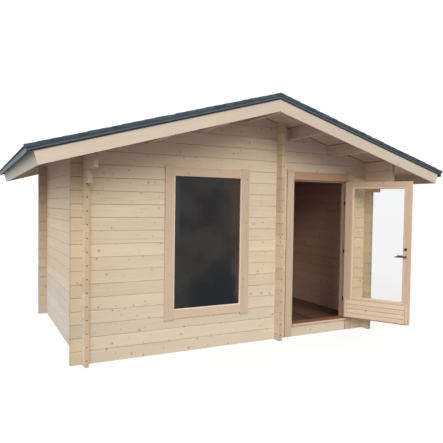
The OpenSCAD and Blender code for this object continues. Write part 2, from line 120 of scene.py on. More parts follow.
class Bench:
    """Makes the nodes of one tree."""

    def __init__(self, tree: bpy.types.NodeTree) -> None:
        """Clears the tree and keeps it."""
        self.tree = tree
        tree.nodes.clear()

    def add(self, kind: str, settings: dict | None = None, sockets: dict | None = None) -> bpy.types.Node:
        """Adds one node.

        Args:
            kind: the node's type.
            settings: properties that are set first.
            sockets: values or links of its inputs, by name or number.

        Returns:
            The new node.
        """
        node = self.tree.nodes.new(kind)
        for name, value in (settings or {}).items():
            setattr(node, name, value)
        for name, value in (sockets or {}).items():
            target = node.inputs[name]
            if isinstance(value, Shade):
                self.tree.links.new(value.socket, target)
            elif isinstance(value, tuple):
                target.default_value = (*value, 1.0)[: len(target.default_value)]
            else:
                target.default_value = value
        return node

    def out(self, node: bpy.types.Node, name: str | int = 0) -> Shade:
        """One output of a node, ready for sums."""
        return Shade(self, node.outputs[name])

    def sum(self, operation: str, a: Value, b: Value = 0.0) -> Shade:
        """A Math node on one or two numbers."""
        return self.out(self.add("ShaderNodeMath", {"operation": operation}, {0: a, 1: b}))

    def sine(self, a: Shade) -> Shade:
        """The sine of an angle in radians."""
        return self.sum("SINE", a)

    def floor(self, a: Shade) -> Shade:
        """The whole number below."""
        return self.sum("FLOOR", a)

    def root(self, a: Shade) -> Shade:
        """The square root."""
        return self.sum("SQRT", a)

    def ramp(self, value: Shade, start: Value, end: Value) -> Shade:
        """Rises smoothly from 0 at start to 1 at end."""
        sockets = {"Value": value, "From Min": start, "From Max": end}
        return self.out(self.add("ShaderNodeMapRange", {"interpolation_type": "SMOOTHSTEP"}, sockets))

    def vector(self, x: Value, y: Value, z: Value = 0.0) -> Shade:
        """Three numbers as one vector."""
        return self.out(self.add("ShaderNodeCombineXYZ", None, {0: x, 1: y, 2: z}))

    def parts(self, vector: Shade) -> list[Shade]:
        """The three numbers of a vector."""
        node = self.add("ShaderNodeSeparateXYZ", None, {0: vector})
        return [self.out(node, i) for i in range(3)]

    def noise(self, at: Shade, scale: float = 1.0, detail: float = 2.0) -> Shade:
        """Smooth noise from 0 to 1."""
        sockets = {"Vector": at, "Scale": scale, "Detail": detail, "Roughness": 0.5}
        return self.out(self.add("ShaderNodeTexNoise", None, sockets), 0)

    def chance(self, at: Shade) -> list[Shade]:
        """Three random numbers, the same wherever the vector is the same."""
        node = self.add("ShaderNodeTexWhiteNoise", {"noise_dimensions": "3D"}, {"Vector": at})
        return self.parts(self.out(node, "Color"))

    def mix(self, share: Value, a: Tint, b: Tint, how: str = "MIX") -> Shade:
        """Blends two colours."""
        settings = {"data_type": "RGBA", "blend_type": how, "clamp_factor": True}
        return self.out(self.add("ShaderNodeMix", settings, {0: share, 6: a, 7: b}), 2)

    def shaded(self, colour: Shade, level: Shade) -> Shade:
        """A colour times a number."""
        return self.mix(1.0, colour, self.vector(level, level, level), "MULTIPLY")

    def place(self) -> list[Shade]:
        """Object coordinates as three numbers."""
        return self.parts(self.out(self.add("ShaderNodeTexCoord"), "Object"))

    def facing(self) -> list[Shade]:
        """The surface's own direction as three numbers, which a pose doesn't turn."""
        return self.parts(self.out(self.add("ShaderNodeTexCoord"), "Normal"))

    def attribute(self, name: str, which: str) -> Shade:
        """A named attribute of the mesh."""
        return self.out(self.add("ShaderNodeAttribute", {"attribute_name": name}), which)

    def finish(self, colour: Tint, rough: Value, height: Shade | None = None,
               relief: float = 0.0, **plain: float | Colour) -> None:
        """Ends the tree in one Principled shader.

        Args:
            colour: base colour.
            rough: roughness.
            height: bump height from 0 to 1.
            relief: what a height of 1 stands for, in metres.
            plain: further sockets by name with _ for a space, each the same all over.
        """
        sockets = {"Base Color": colour, "Roughness": rough}
        sockets.update({name.replace("_", " "): value for name, value in plain.items()})
        if height is not None:
            bump = self.add("ShaderNodeBump", None, {"Strength": 1.0, "Distance": relief, "Height": height})
            sockets["Normal"] = self.out(bump)
        shader = self.add("ShaderNodeBsdfPrincipled", None, sockets)
        self.add("ShaderNodeOutputMaterial", None, {"Surface": self.out(shader)})


# Finishes


class Finish:
    """What every finish can do: make its material once and hand it out."""

    name: str

    def build(self, bench: Bench) -> None:
        """Draws the finish on an empty tree."""
        raise NotImplementedError

    def material(self) -> bpy.types.Material:
        """Makes the finish's material on first use.

        Returns:
            The material.
        """
        found = bpy.data.materials.get(self.name)
        if found:
            return found
        made = bpy.data.materials.new(self.name)
        made.use_nodes = True
        self.build(Bench(made.node_tree))
        return made


@dataclass(frozen=True)
class Timber:
    """The colours and marks of a softwood."""

    pale: Colour = (0.72, 0.60, 0.44)
    late: Colour = (0.58, 0.43, 0.275)
    knot: Colour = (0.22, 0.115, 0.065)
    dead_knot: Colour = (0.060, 0.036, 0.024)
    ring_gap: float = 0.0052
    ring_strength: float = 0.34
    knot_cell: float = 0.130
    knot_share: float = 0.80
    knot_small: float = 0.0024
    knot_big: float = 0.0074
    halo: float = 0.26
    tone_spread: float = 0.10
    rough: float = 0.60
    blush: Colour = (0.72, 0.51, 0.34)
    round_knot: Colour = (0.44, 0.285, 0.165)
    sawn: tuple[Colour, Colour] = ((0.60, 0.455, 0.310), (0.47, 0.320, 0.190))

    def pattern(self, bench: Bench, along: Shade, across: Shade, deep: Shade, luck: Sequence[Shade],
                end: Shade) -> tuple[Shade, Shade, Shade]:
        """Draws the wood from a board's own coordinates.

        Args:
            bench: where the nodes go.
            along: distance along the grain, in metres.
            across: distance across the face from the pith.
            deep: distance into the board.
            luck: three random numbers that belong to this board.
            end: 1 on a sawn end.

        Returns:
            Colour, roughness and bump height.
        """
        wander = bench.noise(bench.vector(along * 0.9, across * 5.0, deep * 5.0), 1.0, 3.0) - 0.5
        cells = bench.add("ShaderNodeTexVoronoi", {"voronoi_dimensions": "2D"},
                          {"Vector": bench.vector(along, across), "Scale": 1.0 / self.knot_cell})
        distance = bench.out(cells, "Distance") * self.knot_cell
        size, here, sort = bench.parts(bench.out(cells, "Color"))
        there = here < self.knot_share
        radius = size * size * (self.knot_big - self.knot_small) + self.knot_small
        edge = bench.noise(bench.vector(along, across, deep), 160.0, 1.0) * 0.5 + 0.75
        core = bench.ramp(distance * edge, radius, radius * 0.72) * there
        halo = bench.ramp(distance, radius * 4.5, radius * 0.8) * there

        reach = bench.root(across * across + deep * deep)
        turns = (reach + wander * 0.022 + halo * 0.006) / self.ring_gap
        ring = (bench.sine(turns * math.tau) * 0.5 + 0.5) ** 2.2
        fibre = bench.noise(bench.vector(along * 7.0, across * 330.0, deep * 330.0), 1.0, 2.0)
        cloud = bench.noise(bench.vector(along * 1.7, across * 9.0, deep * 9.0), 1.0, 2.0) - 0.5

        figure = ring * (self.ring_strength * (0.55 + 0.9 * luck[1]))
        colour = bench.mix(figure, self.pale, self.late)
        colour = bench.mix(luck[2] * 0.14, colour, self.blush)
        level = (luck[0] - 0.5) * self.tone_spread + (fibre - 0.5) * 0.16 + cloud * 0.12 + wander * 0.10 + 1.0
        colour = bench.shaded(colour, level)
        colour = bench.mix(halo * self.halo, colour, self.round_knot)
        colour = bench.mix(core * 0.92, colour, bench.mix(sort > 0.45, self.knot, self.dead_knot))

        saw = bench.noise(bench.vector(along * 40.0, across * 260.0, deep * 90.0), 1.0, 2.0)
        sawn = bench.mix(ring * 0.5, *self.sawn)
        sawn = bench.shaded(sawn, saw * 0.24 + luck[0] * 0.16 + 0.80)
        colour = bench.mix(end, colour, sawn)
        rough = ring * -0.06 + core * -0.12 + end * 0.15 + self.rough
        height = ring * 0.35 + fibre * 0.40 + core * 0.5 + end * saw
        return colour, rough, height


FOOT_TINT = (0.93, 1.03, 1.26)        # a bluer, greyer tint towards the foot of a wall
PAINTED_ROOF_SHADE = (0.87, 0.80, 0.96)   # painted shade: browner, rosier wood under the roof
STUB = (0.82, 0.80, 0.755)       # the log ends that pass the left corners
PAINTED_GAP_SHADOW = (0.060, 0.040, 0.034)     # painted shadow in the gap where wood meets the roof boards
JOINT = (0.17, 0.105, 0.062)     # the line between two logs
PAINTED_HOLLOW_SHADE = (0.035, 0.022, 0.015)   # painted shade in the gap beside a tongue in a log's end
INSIDE = (1.852, 1.266)          # places nearer the middle than this, in X and in Y, are indoors and get painted shade


@dataclass(frozen=True)
class StackedWood(Finish):
    """Logs or boards that lie edge to edge in one piece, told apart by where they are."""

    name: str
    grain: Axis
    stack: Axis
    pitch: float
    start: float
    depth: Axis
    middle: float = 0.0
    slope: float = 0.0
    seed: float = 0.0
    timber: Timber = Timber()
    tongues: bool = False
    worn: float = 0.0
    stub: float = 0.0
    roofed: bool = False
    painted_full_shade: bool = False
    # painted shade on the faces indoors
    painted_indoor_shade: Colour = (0.77, 0.61, 0.67)

    def build(self, bench: Bench) -> None:
        """Draws each log with its own figure, and a broken line at each joint.

        Args:
            bench: where the nodes go.
        """
        place, facing = bench.place(), bench.facing()
        side = abs(facing[self.grain.value])
        if self.slope:
            cos, sin = math.cos(self.slope), math.sin(self.slope)
            place = [abs(place[0]) * cos - place[2] * sin, place[1], abs(place[0]) * sin + place[2] * cos]
            side = abs(abs(facing[0]) * cos - facing[2] * sin)
        run, up, deep = place[self.grain.value], place[self.stack.value], place[self.depth.value]
        share = (up - self.start) / self.pitch
        number = bench.floor(share)
        luck = bench.chance(bench.vector(number, self.seed, -1.0))
        local = (share - number - 0.5) * self.pitch
        into = abs(deep) - self.middle if self.middle else deep
        along = run + luck[1] * 17.0 + number * 3.7 + self.seed
        across = local + (luck[2] - 0.5) * 0.14
        end = bench.ramp(side, 0.80, 0.90)
        inner = into + luck[0] * 0.05 + 0.01
        colour, rough, height = self.timber.pattern(bench, along, across, inner, luck, end)
        joint = self.pitch * 0.5 - abs(local)
        patchy = bench.noise(bench.vector(run * 2.3, number * 1.7, self.seed), 1.0, 3.0)
        shown = bench.ramp(patchy, 0.32, 0.66) * 0.34 + 0.10
        line = bench.ramp(joint, 0.0042, 0.0014) * (1.0 - end) * shown
        colour = bench.mix(line, colour, JOINT)
        if self.tongues:
            # painted shade in the gaps beside each log's tongue
            gap = bench.ramp(joint, 0.0070, 0.0045) * bench.ramp(abs(into), 0.0075, 0.0050) * end
            colour = bench.mix(gap * 0.92, colour, PAINTED_HOLLOW_SHADE)
            height = height - gap * 2.0
        colour = self._by_place(bench, colour, run, end)
        bench.finish(colour, rough, height, 0.5 * MM, Specular_IOR_Level=0.35)

    def _by_place(self, bench: Bench, colour: Shade, run: Shade, end: Shade) -> Shade:
        """Changes the wood by where it is: bluer towards the foot, darker past a corner, and painted shade
        under the roof and indoors.

        Args:
            bench: where the nodes go.
            colour: the wood's own colour.
            run: place along the grain.
            end: 1 on a sawn end.

        Returns:
            The changed colour.
        """
        x, y, z = bench.place()
        # bluer and greyer towards the foot of the wall
        if self.worn:
            low = bench.ramp(z + (bench.noise(bench.vector(x, y, z), 2.5) - 0.5) * 0.4, 1.05, 0.35)
            colour = bench.mix(low * self.worn * (1.0 - end), colour, FOOT_TINT, "MULTIPLY")
        if self.stub:
            past = bench.ramp(run * -1.0, self.stub - 0.004, self.stub + 0.004)
            colour = bench.mix(past, colour, STUB, "MULTIPLY")
        # painted shade that deepens towards the roof
        if self.roofed:
            colour = shaded_by_roof(bench, colour)
        # painted shade over the whole surface
        if self.painted_full_shade:
            colour = bench.mix(1.0, colour, PAINTED_ROOF_SHADE, "MULTIPLY")
        # painted shade indoors
        indoor_shade_mask = [bench.ramp(abs(way), edge + 0.004, edge - 0.004) for way, edge in zip((x, y), INSIDE)]
        return bench.mix(indoor_shade_mask[0] * indoor_shade_mask[1], colour, self.painted_indoor_shade, "MULTIPLY")


def roof_level(bench: Bench) -> Shade:
    """A place's height, measured square to the nearer slope."""
    x, _, z = bench.place()
    return abs(x) * math.sin(SLOPE) + z * math.cos(SLOPE)


def shaded_by_roof(bench: Bench, colour: Shade) -> Shade:
    """Paints the roof's shade onto the wood under it, and a painted shadow in the gap below the roof boards.

    Args:
        bench: where the nodes go.
        colour: the wood's colour.

    Returns:
        The changed colour.
    """
    level = roof_level(bench)
    # painted shade, deeper near the roof boards
    high = bench.ramp(level, SOFFIT - 0.42, SOFFIT - 0.06)
    colour = bench.mix(high, colour, PAINTED_ROOF_SHADE, "MULTIPLY")
    # painted shadow in the gap just below the roof boards
    gap_shadow = bench.ramp(level, SOFFIT - 0.011, SOFFIT - 0.004)
    return bench.mix(gap_shadow * 0.85, colour, PAINTED_GAP_SHADOW)


@dataclass(frozen=True)
class BoardWood(Finish):
    """Boards that carry their own coordinates."""

    name: str
    timber: Timber = Timber()
    roofed: bool = False

    def build(self, bench: Bench) -> None:
        """Draws the wood from the mesh's attributes.

        Args:
            bench: where the nodes go.
        """
        along, across, deep = bench.parts(bench.attribute(GRAIN, "Vector"))
        tone = bench.attribute(TONE, "Fac")
        luck = bench.chance(bench.vector(bench.floor(tone * 9973.0), 3.0, 1.0))
        end = bench.attribute(END, "Fac")
        colour, rough, height = self.timber.pattern(bench, along, across, deep, luck, end)
        if self.roofed:
            colour = shaded_by_roof(bench, colour)
        bench.finish(colour, rough, height, 0.5 * MM, Specular_IOR_Level=0.35)


@dataclass(frozen=True)
class Shingle(Finish):
    """Slate-blue mineral granules on bitumen."""

    name: str = "slate_shingle"
    dark: Colour = (0.026, 0.036, 0.048)
    pale: Colour = (0.085, 0.112, 0.142)

    def build(self, bench: Bench) -> None:
        """Draws granules, streaks and each tab's own tone.

        Args:
            bench: where the nodes go.
        """
        place = bench.vector(*bench.place())
        grain = bench.noise(place, 900.0, 1.0)
        blotch = bench.noise(place, 5.0, 3.0)
        tone = bench.attribute(TONE, "Fac")
        level = bench.ramp(grain, 0.35, 0.75) * 0.55 + blotch * 0.35 + tone * 0.45 - 0.12
        colour = bench.mix(level, self.dark, self.pale)
        bench.finish(colour, 0.86, grain, 0.6 * MM, Specular_IOR_Level=0.3)


@dataclass(frozen=True)
class Bitumen(Finish):
    """The folded felt that shows at the roof's edges."""

    name: str = "edge_felt"
    dark: Colour = (0.110, 0.145, 0.180)
    pale: Colour = (0.290, 0.340, 0.390)
    shadow: Colour = (0.010, 0.014, 0.020)

    def build(self, bench: Bench) -> None:
        """Draws a mottled blue-grey felt, with painted shade where it faces front or back and a painted
        shadow under the shingles.

        Args:
            bench: where the nodes go.
        """
        place = bench.vector(*bench.place())
        speck = bench.noise(place, 700.0, 1.0)
        blotch = bench.noise(place, 9.0, 2.0)
        # painted shade on the felt that faces the front or the back
        end_facing_shade = bench.ramp(abs(bench.facing()[1]), 0.6, 0.9)
        shadow = bench.ramp(roof_level(bench), DECK + 0.006, DECK + 0.011)
        colour = bench.shaded(bench.mix(blotch * 0.6 + speck * 0.4, self.dark, self.pale), 1.0 - end_facing_shade * 0.50)
        colour = bench.mix(shadow * 0.88, colour, self.shadow)
        bench.finish(colour, 0.78, speck, 0.4 * MM, Specular_IOR_Level=0.3)


@dataclass(frozen=True)
class Glass(Finish):
    """A pane, clear or dark. Part of it lets light straight through."""

    name: str
    cool: Colour
    warm: Colour
    body: float
    shine: float = 0.5
    painted_view: str = ""
    # colours of the painted light and shade seen in the pane
    left: Colour = (0.040, 0.045, 0.058)
    right: Colour = (0.070, 0.036, 0.022)
    foot: Colour = (0.001, 0.005, 0.010)

    def build(self, bench: Bench) -> None:
        """Draws soft clouds of two tints, and painted light and shade of a dark room seen in the pane if a
        node is given for it.

        Args:
            bench: where the nodes go.
        """
        place = bench.vector(*bench.place())
        cloud = bench.ramp(bench.noise(place, 2.6, 3.0), 0.38, 0.62)
        colour = bench.mix(cloud, self.cool, self.warm)
        if self.painted_view:
            colour = self._painted_view_shapes(bench, colour, cloud)
        wave = bench.noise(place, 1.6, 1.0)
        bench.finish(colour, cloud * 0.04 + 0.02, wave, 0.3 * MM, Alpha=self.body, IOR=1.5,
                     Specular_IOR_Level=self.shine)

    def _painted_view_shapes(self, bench: Bench, colour: Shade, cloud: Shade) -> Shade:
        """Paints the light and shade seen in the pane: a grey-blue left edge, a brown right edge and a dark
        blue foot.

        Args:
            bench: where the nodes go.
            colour: the pane's own colour.
            cloud: noise from 0 to 1, which frays the shapes' edges.

        Returns:
            The colour with the shapes.
        """
        low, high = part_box(self.painted_view)
        x, _, z = bench.place()
        fray = (cloud - 0.5) * 0.10
        across = (x - low.x) / (high.x - low.x)
        up = (z - low.z) / (high.z - low.z) + fray
        left = bench.ramp(across, 0.12, 0.07) * bench.ramp(up, 0.50, 0.62)
        colour = bench.mix(left * 0.8, colour, self.left)
        across = across + fray
        colour = bench.mix(bench.ramp(across, 0.80, 1.02) * 0.9, colour, self.right)
        foot = bench.ramp(up, 0.30, 0.16) * bench.ramp(across, 0.10, 0.40)
        return bench.mix(foot * bench.ramp(across, 1.0, 0.90), colour, self.foot)


@dataclass(frozen=True)
class Metal(Finish):
    """Metal with a second, darker colour in its blotches."""

    name: str
    colour: Colour
    dark: Colour
    rough: float
    metallic: float

    def build(self, bench: Bench) -> None:
        """Draws fine scratches and stains.

        Args:
            bench: where the nodes go.
        """
        x, y, z = bench.place()
        lines = bench.noise(bench.vector(x * 60.0, y * 60.0, z * 1400.0), 1.0, 2.0)
        stain = bench.ramp(bench.noise(bench.vector(x, y, z), 60.0, 2.0), 0.30, 0.70)
        colour = bench.shaded(bench.mix(stain, self.colour, self.dark), lines * 0.15 + 0.92)
        bench.finish(colour, lines * 0.10 + stain * 0.10 + (self.rough - 0.10), lines, 0.05 * MM,
                     Metallic=self.metallic)


COURSE = 0.135                # one log's height
SIDE_MIDDLE = 1.858           # from the building's middle to the middle of the side walls
END_MIDDLE = 1.273            # the same for the front and back walls
SLOPE = math.radians(15.8)


def slope_level(node: str) -> float:
    """The highest level of a node, measured square to the right-hand slope."""
    corners = frame["nodes"][node].data.vertices
    return max(v.co.x * math.sin(SLOPE) + v.co.z * math.cos(SLOPE) for v in corners)


SOFFIT = slope_level("slope_purlins")
DECK = slope_level("right_roof_boards")

KNOTTY = Timber()
# a paler, yellower copy of the log pine: painted light on the logs that the open leaf shades
PAINTED_LIGHT_PINE = Timber((0.92, 0.770, 0.510), (0.76, 0.560, 0.310))
STAINED = Timber((0.094, 0.038, 0.029), (0.048, 0.018, 0.014), ring_strength=0.5)


def planed(name: str, pale: Colour, late: Colour, cell: float, share: float, rings: float,
           roofed: bool = False, **more: float) -> BoardWood:
    """Boards with fewer knots than the logs.

    Args:
        name: the finish's name.
        pale: colour of the early wood.
        late: colour of the late wood.
        cell: distance between knots.
        share: share of the places that have one.
        rings: how strongly the rings show.
        roofed: whether the roof shades them.
        more: further fields of the timber.

    Returns:
        The finish.
    """
    timber = Timber(pale, late, knot_cell=cell, knot_share=share, ring_strength=rings, **more)
    return BoardWood(name, timber, roofed)


CASING_BOARD = planed("casing_spruce", (0.61, 0.468, 0.345), (0.49, 0.335, 0.220), 0.24, 0.42, 0.42, True)
BARGE_BOARD = planed("barge_spruce", (0.64, 0.545, 0.440), (0.53, 0.415, 0.295), 0.26, 0.45, 0.28)
FASCIA_BOARD = planed("fascia_spruce", (0.56, 0.535, 0.460), (0.44, 0.405, 0.330), 0.26, 0.45, 0.30)
DOOR_BOARD = planed("door_pine", (0.585, 0.415, 0.300), (0.455, 0.280, 0.180), 0.28, 0.35, 0.30)
# a darker copy of the door pine: painted shade of the overhang on the door's head casing
SHADED_HEAD_BOARD = planed("head_pine", (0.475, 0.287, 0.183), (0.375, 0.200, 0.118), 0.28, 0.35, 0.30, True)
FOOT_BOARD = planed("foot_pine", (0.75, 0.58, 0.425), (0.61, 0.43, 0.285), 0.26, 0.30, 0.30, tone_spread=0.09)
# very pale spruce: painted highlight on the window's beads
HIGHLIGHT_BEAD_BOARD = planed("bead_spruce", (0.92, 0.80, 0.69), (0.80, 0.66, 0.53), 0.30, 0.20, 0.34)
THRESHOLD = planed("oiled_pine", (0.34, 0.125, 0.054), (0.24, 0.072, 0.028), 0.30, 0.30, 0.50, rough=0.42)
PURLIN = BoardWood("purlin_pine", KNOTTY, True)
SHINGLE = Shingle()
# real drip lips, near-black partly as painted shade of the shadow line under each fold
LIP_AND_SHADE = Shingle("lip_felt", (0.010, 0.014, 0.021), (0.030, 0.040, 0.055))
FELT = Bitumen()
DARK_PANE = Glass("dark_pane", (0.011, 0.009, 0.010), (0.029, 0.028, 0.026), 0.90, 0.25, "window_glass")
CLEAR_PANE = Glass("clear_pane", (0.0, 0.030, 0.110), (0.010, 0.030, 0.080), 0.09)
BLACK_STEEL = Metal("black_steel", (0.024, 0.023, 0.022), (0.014, 0.013, 0.012), 0.42, 0.0)
AGED_BRASS = Metal("aged_brass", (0.78, 0.55, 0.22), (0.16, 0.105, 0.055), 0.30, 0.9)
DARK_BRASS = Metal("dark_brass", (0.030, 0.020, 0.014), (0.012, 0.008, 0.006), 0.45, 0.5)
DULL_BRASS = Metal("dull_brass", (0.150, 0.100, 0.050), (0.030, 0.019, 0.012), 0.38, 0.9)
RUST = Metal("rusty_head", (0.20, 0.085, 0.050), (0.10, 0.045, 0.030), 0.70, 0.2)


# Meshes


def cad_copy(node: str, name: str, keep: Callable[[Vector], bool] | None = None) -> Object:
    """Copies a CAD node into a mesh whose triangles share their corners.

    Args:
        node: the node's name.
        name: name of the new object.
        keep: tells from a corner's place whether it stays; without it everything does.

    Returns:
        A new object at the origin.
    """
    mesh = bmesh.new()
    mesh.from_mesh(frame["nodes"][node].data)
    if keep:
        bmesh.ops.delete(mesh, geom=[v for v in mesh.verts if not keep(v.co)], context="VERTS")
    bmesh.ops.remove_doubles(mesh, verts=mesh.verts, dist=0.02 * MM)
    bmesh.ops.dissolve_limit(mesh, angle_limit=math.radians(0.5), verts=mesh.verts, edges=mesh.edges)
    return piece(mesh, name)


def placed(name: str, data: bpy.types.ID) -> Object:
    """Puts a new object into the scene.

    Args:
        name: the object's name.
        data: its mesh, camera or light.

    Returns:
        The object.
    """
    made = bpy.data.objects.new(name, data)
    bpy.context.scene.collection.objects.link(made)
    return made


def piece(mesh: BMesh, name: str) -> Object:
    """Turns a bmesh into an object at the origin.

    Args:
        mesh: the bmesh, which is freed.
        name: name of the object and of its mesh.

    Returns:
        The object.
    """
    data = bpy.data.meshes.new(name)
    mesh.to_mesh(data)
    mesh.free()
    return placed(name, data)


def edited(made: Object, change: Callable[[BMesh], None]) -> None:
    """Changes a finished mesh in place.

    Args:
        made: the object.
        change: what is done to its bmesh.
    """
    mesh = bmesh.new()
    mesh.from_mesh(made.data)
    change(mesh)
    mesh.to_mesh(made.data)
    mesh.free()


def baked(made: Object) -> Object:
    """Applies an object's modifiers to its mesh.

    Args:
        made: the object.

    Returns:
        The same object.
    """
    graph = bpy.context.evaluated_depsgraph_get()
    old = made.data
    made.data = bpy.data.meshes.new_from_object(made.evaluated_get(graph))
    made.modifiers.clear()
    bpy.data.meshes.remove(old)
    made.data.name = made.name
    return made


def eased(made: Object, width: float, steps: int = 2) -> Object:
    """Rounds an object's sharp edges.

    Args:
        made: the object.
        width: how far the rounding reaches.
        steps: how many faces it has.

    Returns:
        The same object.
    """
    bevel = made.modifiers.new("ease", "BEVEL")
    bevel.width = width
    bevel.segments = steps
    bevel.limit_method = "ANGLE"
    bevel.angle_limit = math.radians(40.0)
    return baked(made)


def store(mesh: bpy.types.Mesh, name: str, values: Sequence, domain: str = "POINT") -> None:
    """Writes a mesh attribute.

    Args:
        mesh: the mesh.
        name: the attribute's name.
        values: one number or one vector for each point or face.
        domain: POINT or FACE.
    """
    table = np.array(values, np.float32)
    kind, key = ("FLOAT_VECTOR", "vector") if table.ndim == 2 else ("FLOAT", "value")
    mesh.attributes.new(name, kind, domain).data.foreach_set(key, table.ravel())


def islands(mesh: bpy.types.Mesh) -> np.ndarray:
    """Numbers the separate shells of a mesh.

    Args:
        mesh: the mesh.

    Returns:
        One shell number for each vertex.
    """
    parent = list(range(len(mesh.vertices)))

    def root(i: int) -> int:
        """Finds a shell's first vertex.

        Args:
            i: any vertex of the shell.

        Returns:
            The first one.
        """
        while parent[i] != i:
            parent[i] = parent[parent[i]]
            i = parent[i]
        return i

    for edge in mesh.edges:
        a, b = root(edge.vertices[0]), root(edge.vertices[1])
        if a != b:
            parent[max(a, b)] = min(a, b)
    roots = [root(i) for i in range(len(parent))]
    order = {r: n for n, r in enumerate(sorted(set(roots)))}
    return np.array([order[r] for r in roots])


def grained(made: Object, grain: Vector | Callable[[Vector], Vector], seed: int) -> Object:
    """Writes each board's own coordinates, tone and sawn ends into its mesh.

    Args:
        made: the object, whose shells are boards.
        grain: the grain's direction, or a function from a shell's middle to it.
        seed: start of the random numbers.

    Returns:
        The same object.
    """
    mesh = made.data
    shells = islands(mesh)
    points = np.array([v.co for v in mesh.vertices])
    place = np.zeros((len(points), 3))
    tone = np.zeros(len(points))
    luck = random.Random(seed)
    ways: dict[int, Vector] = {}
    for number in range(shells.max() + 1):
        mine = shells == number
        middle = Vector(points[mine].mean(0))
        way = (grain(middle) if callable(grain) else grain).normalized()
        ways[number] = way
        spread = points[mine] - np.array(middle)
        flat = spread - np.outer(spread @ np.array(way), np.array(way))
        values, vectors = np.linalg.eigh(flat.T @ flat)
        across, deep = vectors[:, 2], vectors[:, 1]
        place[mine, 0] = spread @ np.array(way) + luck.uniform(0, 40)
        place[mine, 1] = spread @ across + luck.uniform(-0.06, 0.06)
        place[mine, 2] = spread @ deep + luck.uniform(0.012, 0.05)
        tone[mine] = luck.random()
    store(mesh, GRAIN, place)
    store(mesh, TONE, tone)
    ends = [abs(f.normal.dot(ways[int(shells[f.vertices[0]])])) > 0.85 for f in mesh.polygons]
    store(mesh, END, ends, "FACE")
    return made


def dressed(made: Object, finish: Finish, body: str, slot: str, *nodes: str) -> None:
    """Dresses a finished object.

    Args:
        made: the object.
        finish: what it wears.
        body: the body it rides on.
        slot: not used.
        nodes: the CAD nodes it stands for.
    """
    made.data.materials.clear()
    made.data.materials.append(finish.material())
    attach(made, body)
    if nodes:
        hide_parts(*nodes)
    LOG.info("%s: %d faces on %s", made.name, len(made.data.polygons), body)


def boarded(node: str, name: str, way: Vector, seed: int, finish: Finish, slot: str = "board_spruce",
            ease: float = 2 * MM) -> None:
    """Replaces a CAD node on the cabin by its copy with eased edges and grain.

    Args:
        node: the node's name.
        name: name of the new object.
        way: the grain's direction.
        seed: start of the random numbers.
        finish: what it wears.
        slot: its material slot.
        ease: width of the rounding.
    """
    dressed(grained(eased(cad_copy(node, name), ease), way, seed), finish, "cabin", slot, node)


def paint(node: str, finish: Finish) -> None:
    """Gives a CAD node a finish and leaves its mesh alone.

    Args:
        node: the node's name.
        finish: what it wears.
    """
    target = frame["nodes"][node]
    if not target.material_slots:
        target.data.materials.append(None)
    for each in target.material_slots:
        each.link = "OBJECT"
        each.material = finish.material()
    LOG.info("%s: painted %s", node, finish.name)


def bar(mesh: BMesh, low: Sequence[float], high: Sequence[float]) -> None:
    """Adds a box to a bmesh.

    Args:
        mesh: the bmesh.
        low: the box's lowest corner.
        high: its highest corner.
    """
    made = bmesh.ops.create_cube(mesh, size=1.0)["verts"]
    size = Vector(high) - Vector(low)
    middle = (Vector(high) + Vector(low)) / 2
    bmesh.ops.transform(mesh, matrix=Matrix.Translation(middle) @ Matrix.Diagonal((*size, 1.0)), verts=made)


def lofted(mesh: BMesh, rings: Sequence[Sequence[Vector]]) -> None:
    """Adds the skin through closed rings of points, with both ends closed.

    Args:
        mesh: the bmesh.
        rings: the rings, with as many points each.
    """
    loops = [[mesh.verts.new(p) for p in ring] for ring in rings]
    count = len(loops[0])
    faces = [mesh.faces.new(loops[0][::-1]), mesh.faces.new(loops[-1])]
    for low, high in zip(loops, loops[1:]):
        for i in range(count):
            j = (i + 1) % count
            faces.append(mesh.faces.new((low[i], low[j], high[j], high[i])))
    bmesh.ops.recalc_face_normals(mesh, faces=faces)


def swept(mesh: BMesh, outline: Sequence[Vector], way: Vector) -> None:
    """Adds a prism: an outline, moved along a way."""
    lofted(mesh, [outline, [p + way for p in outline]])


# Repeats


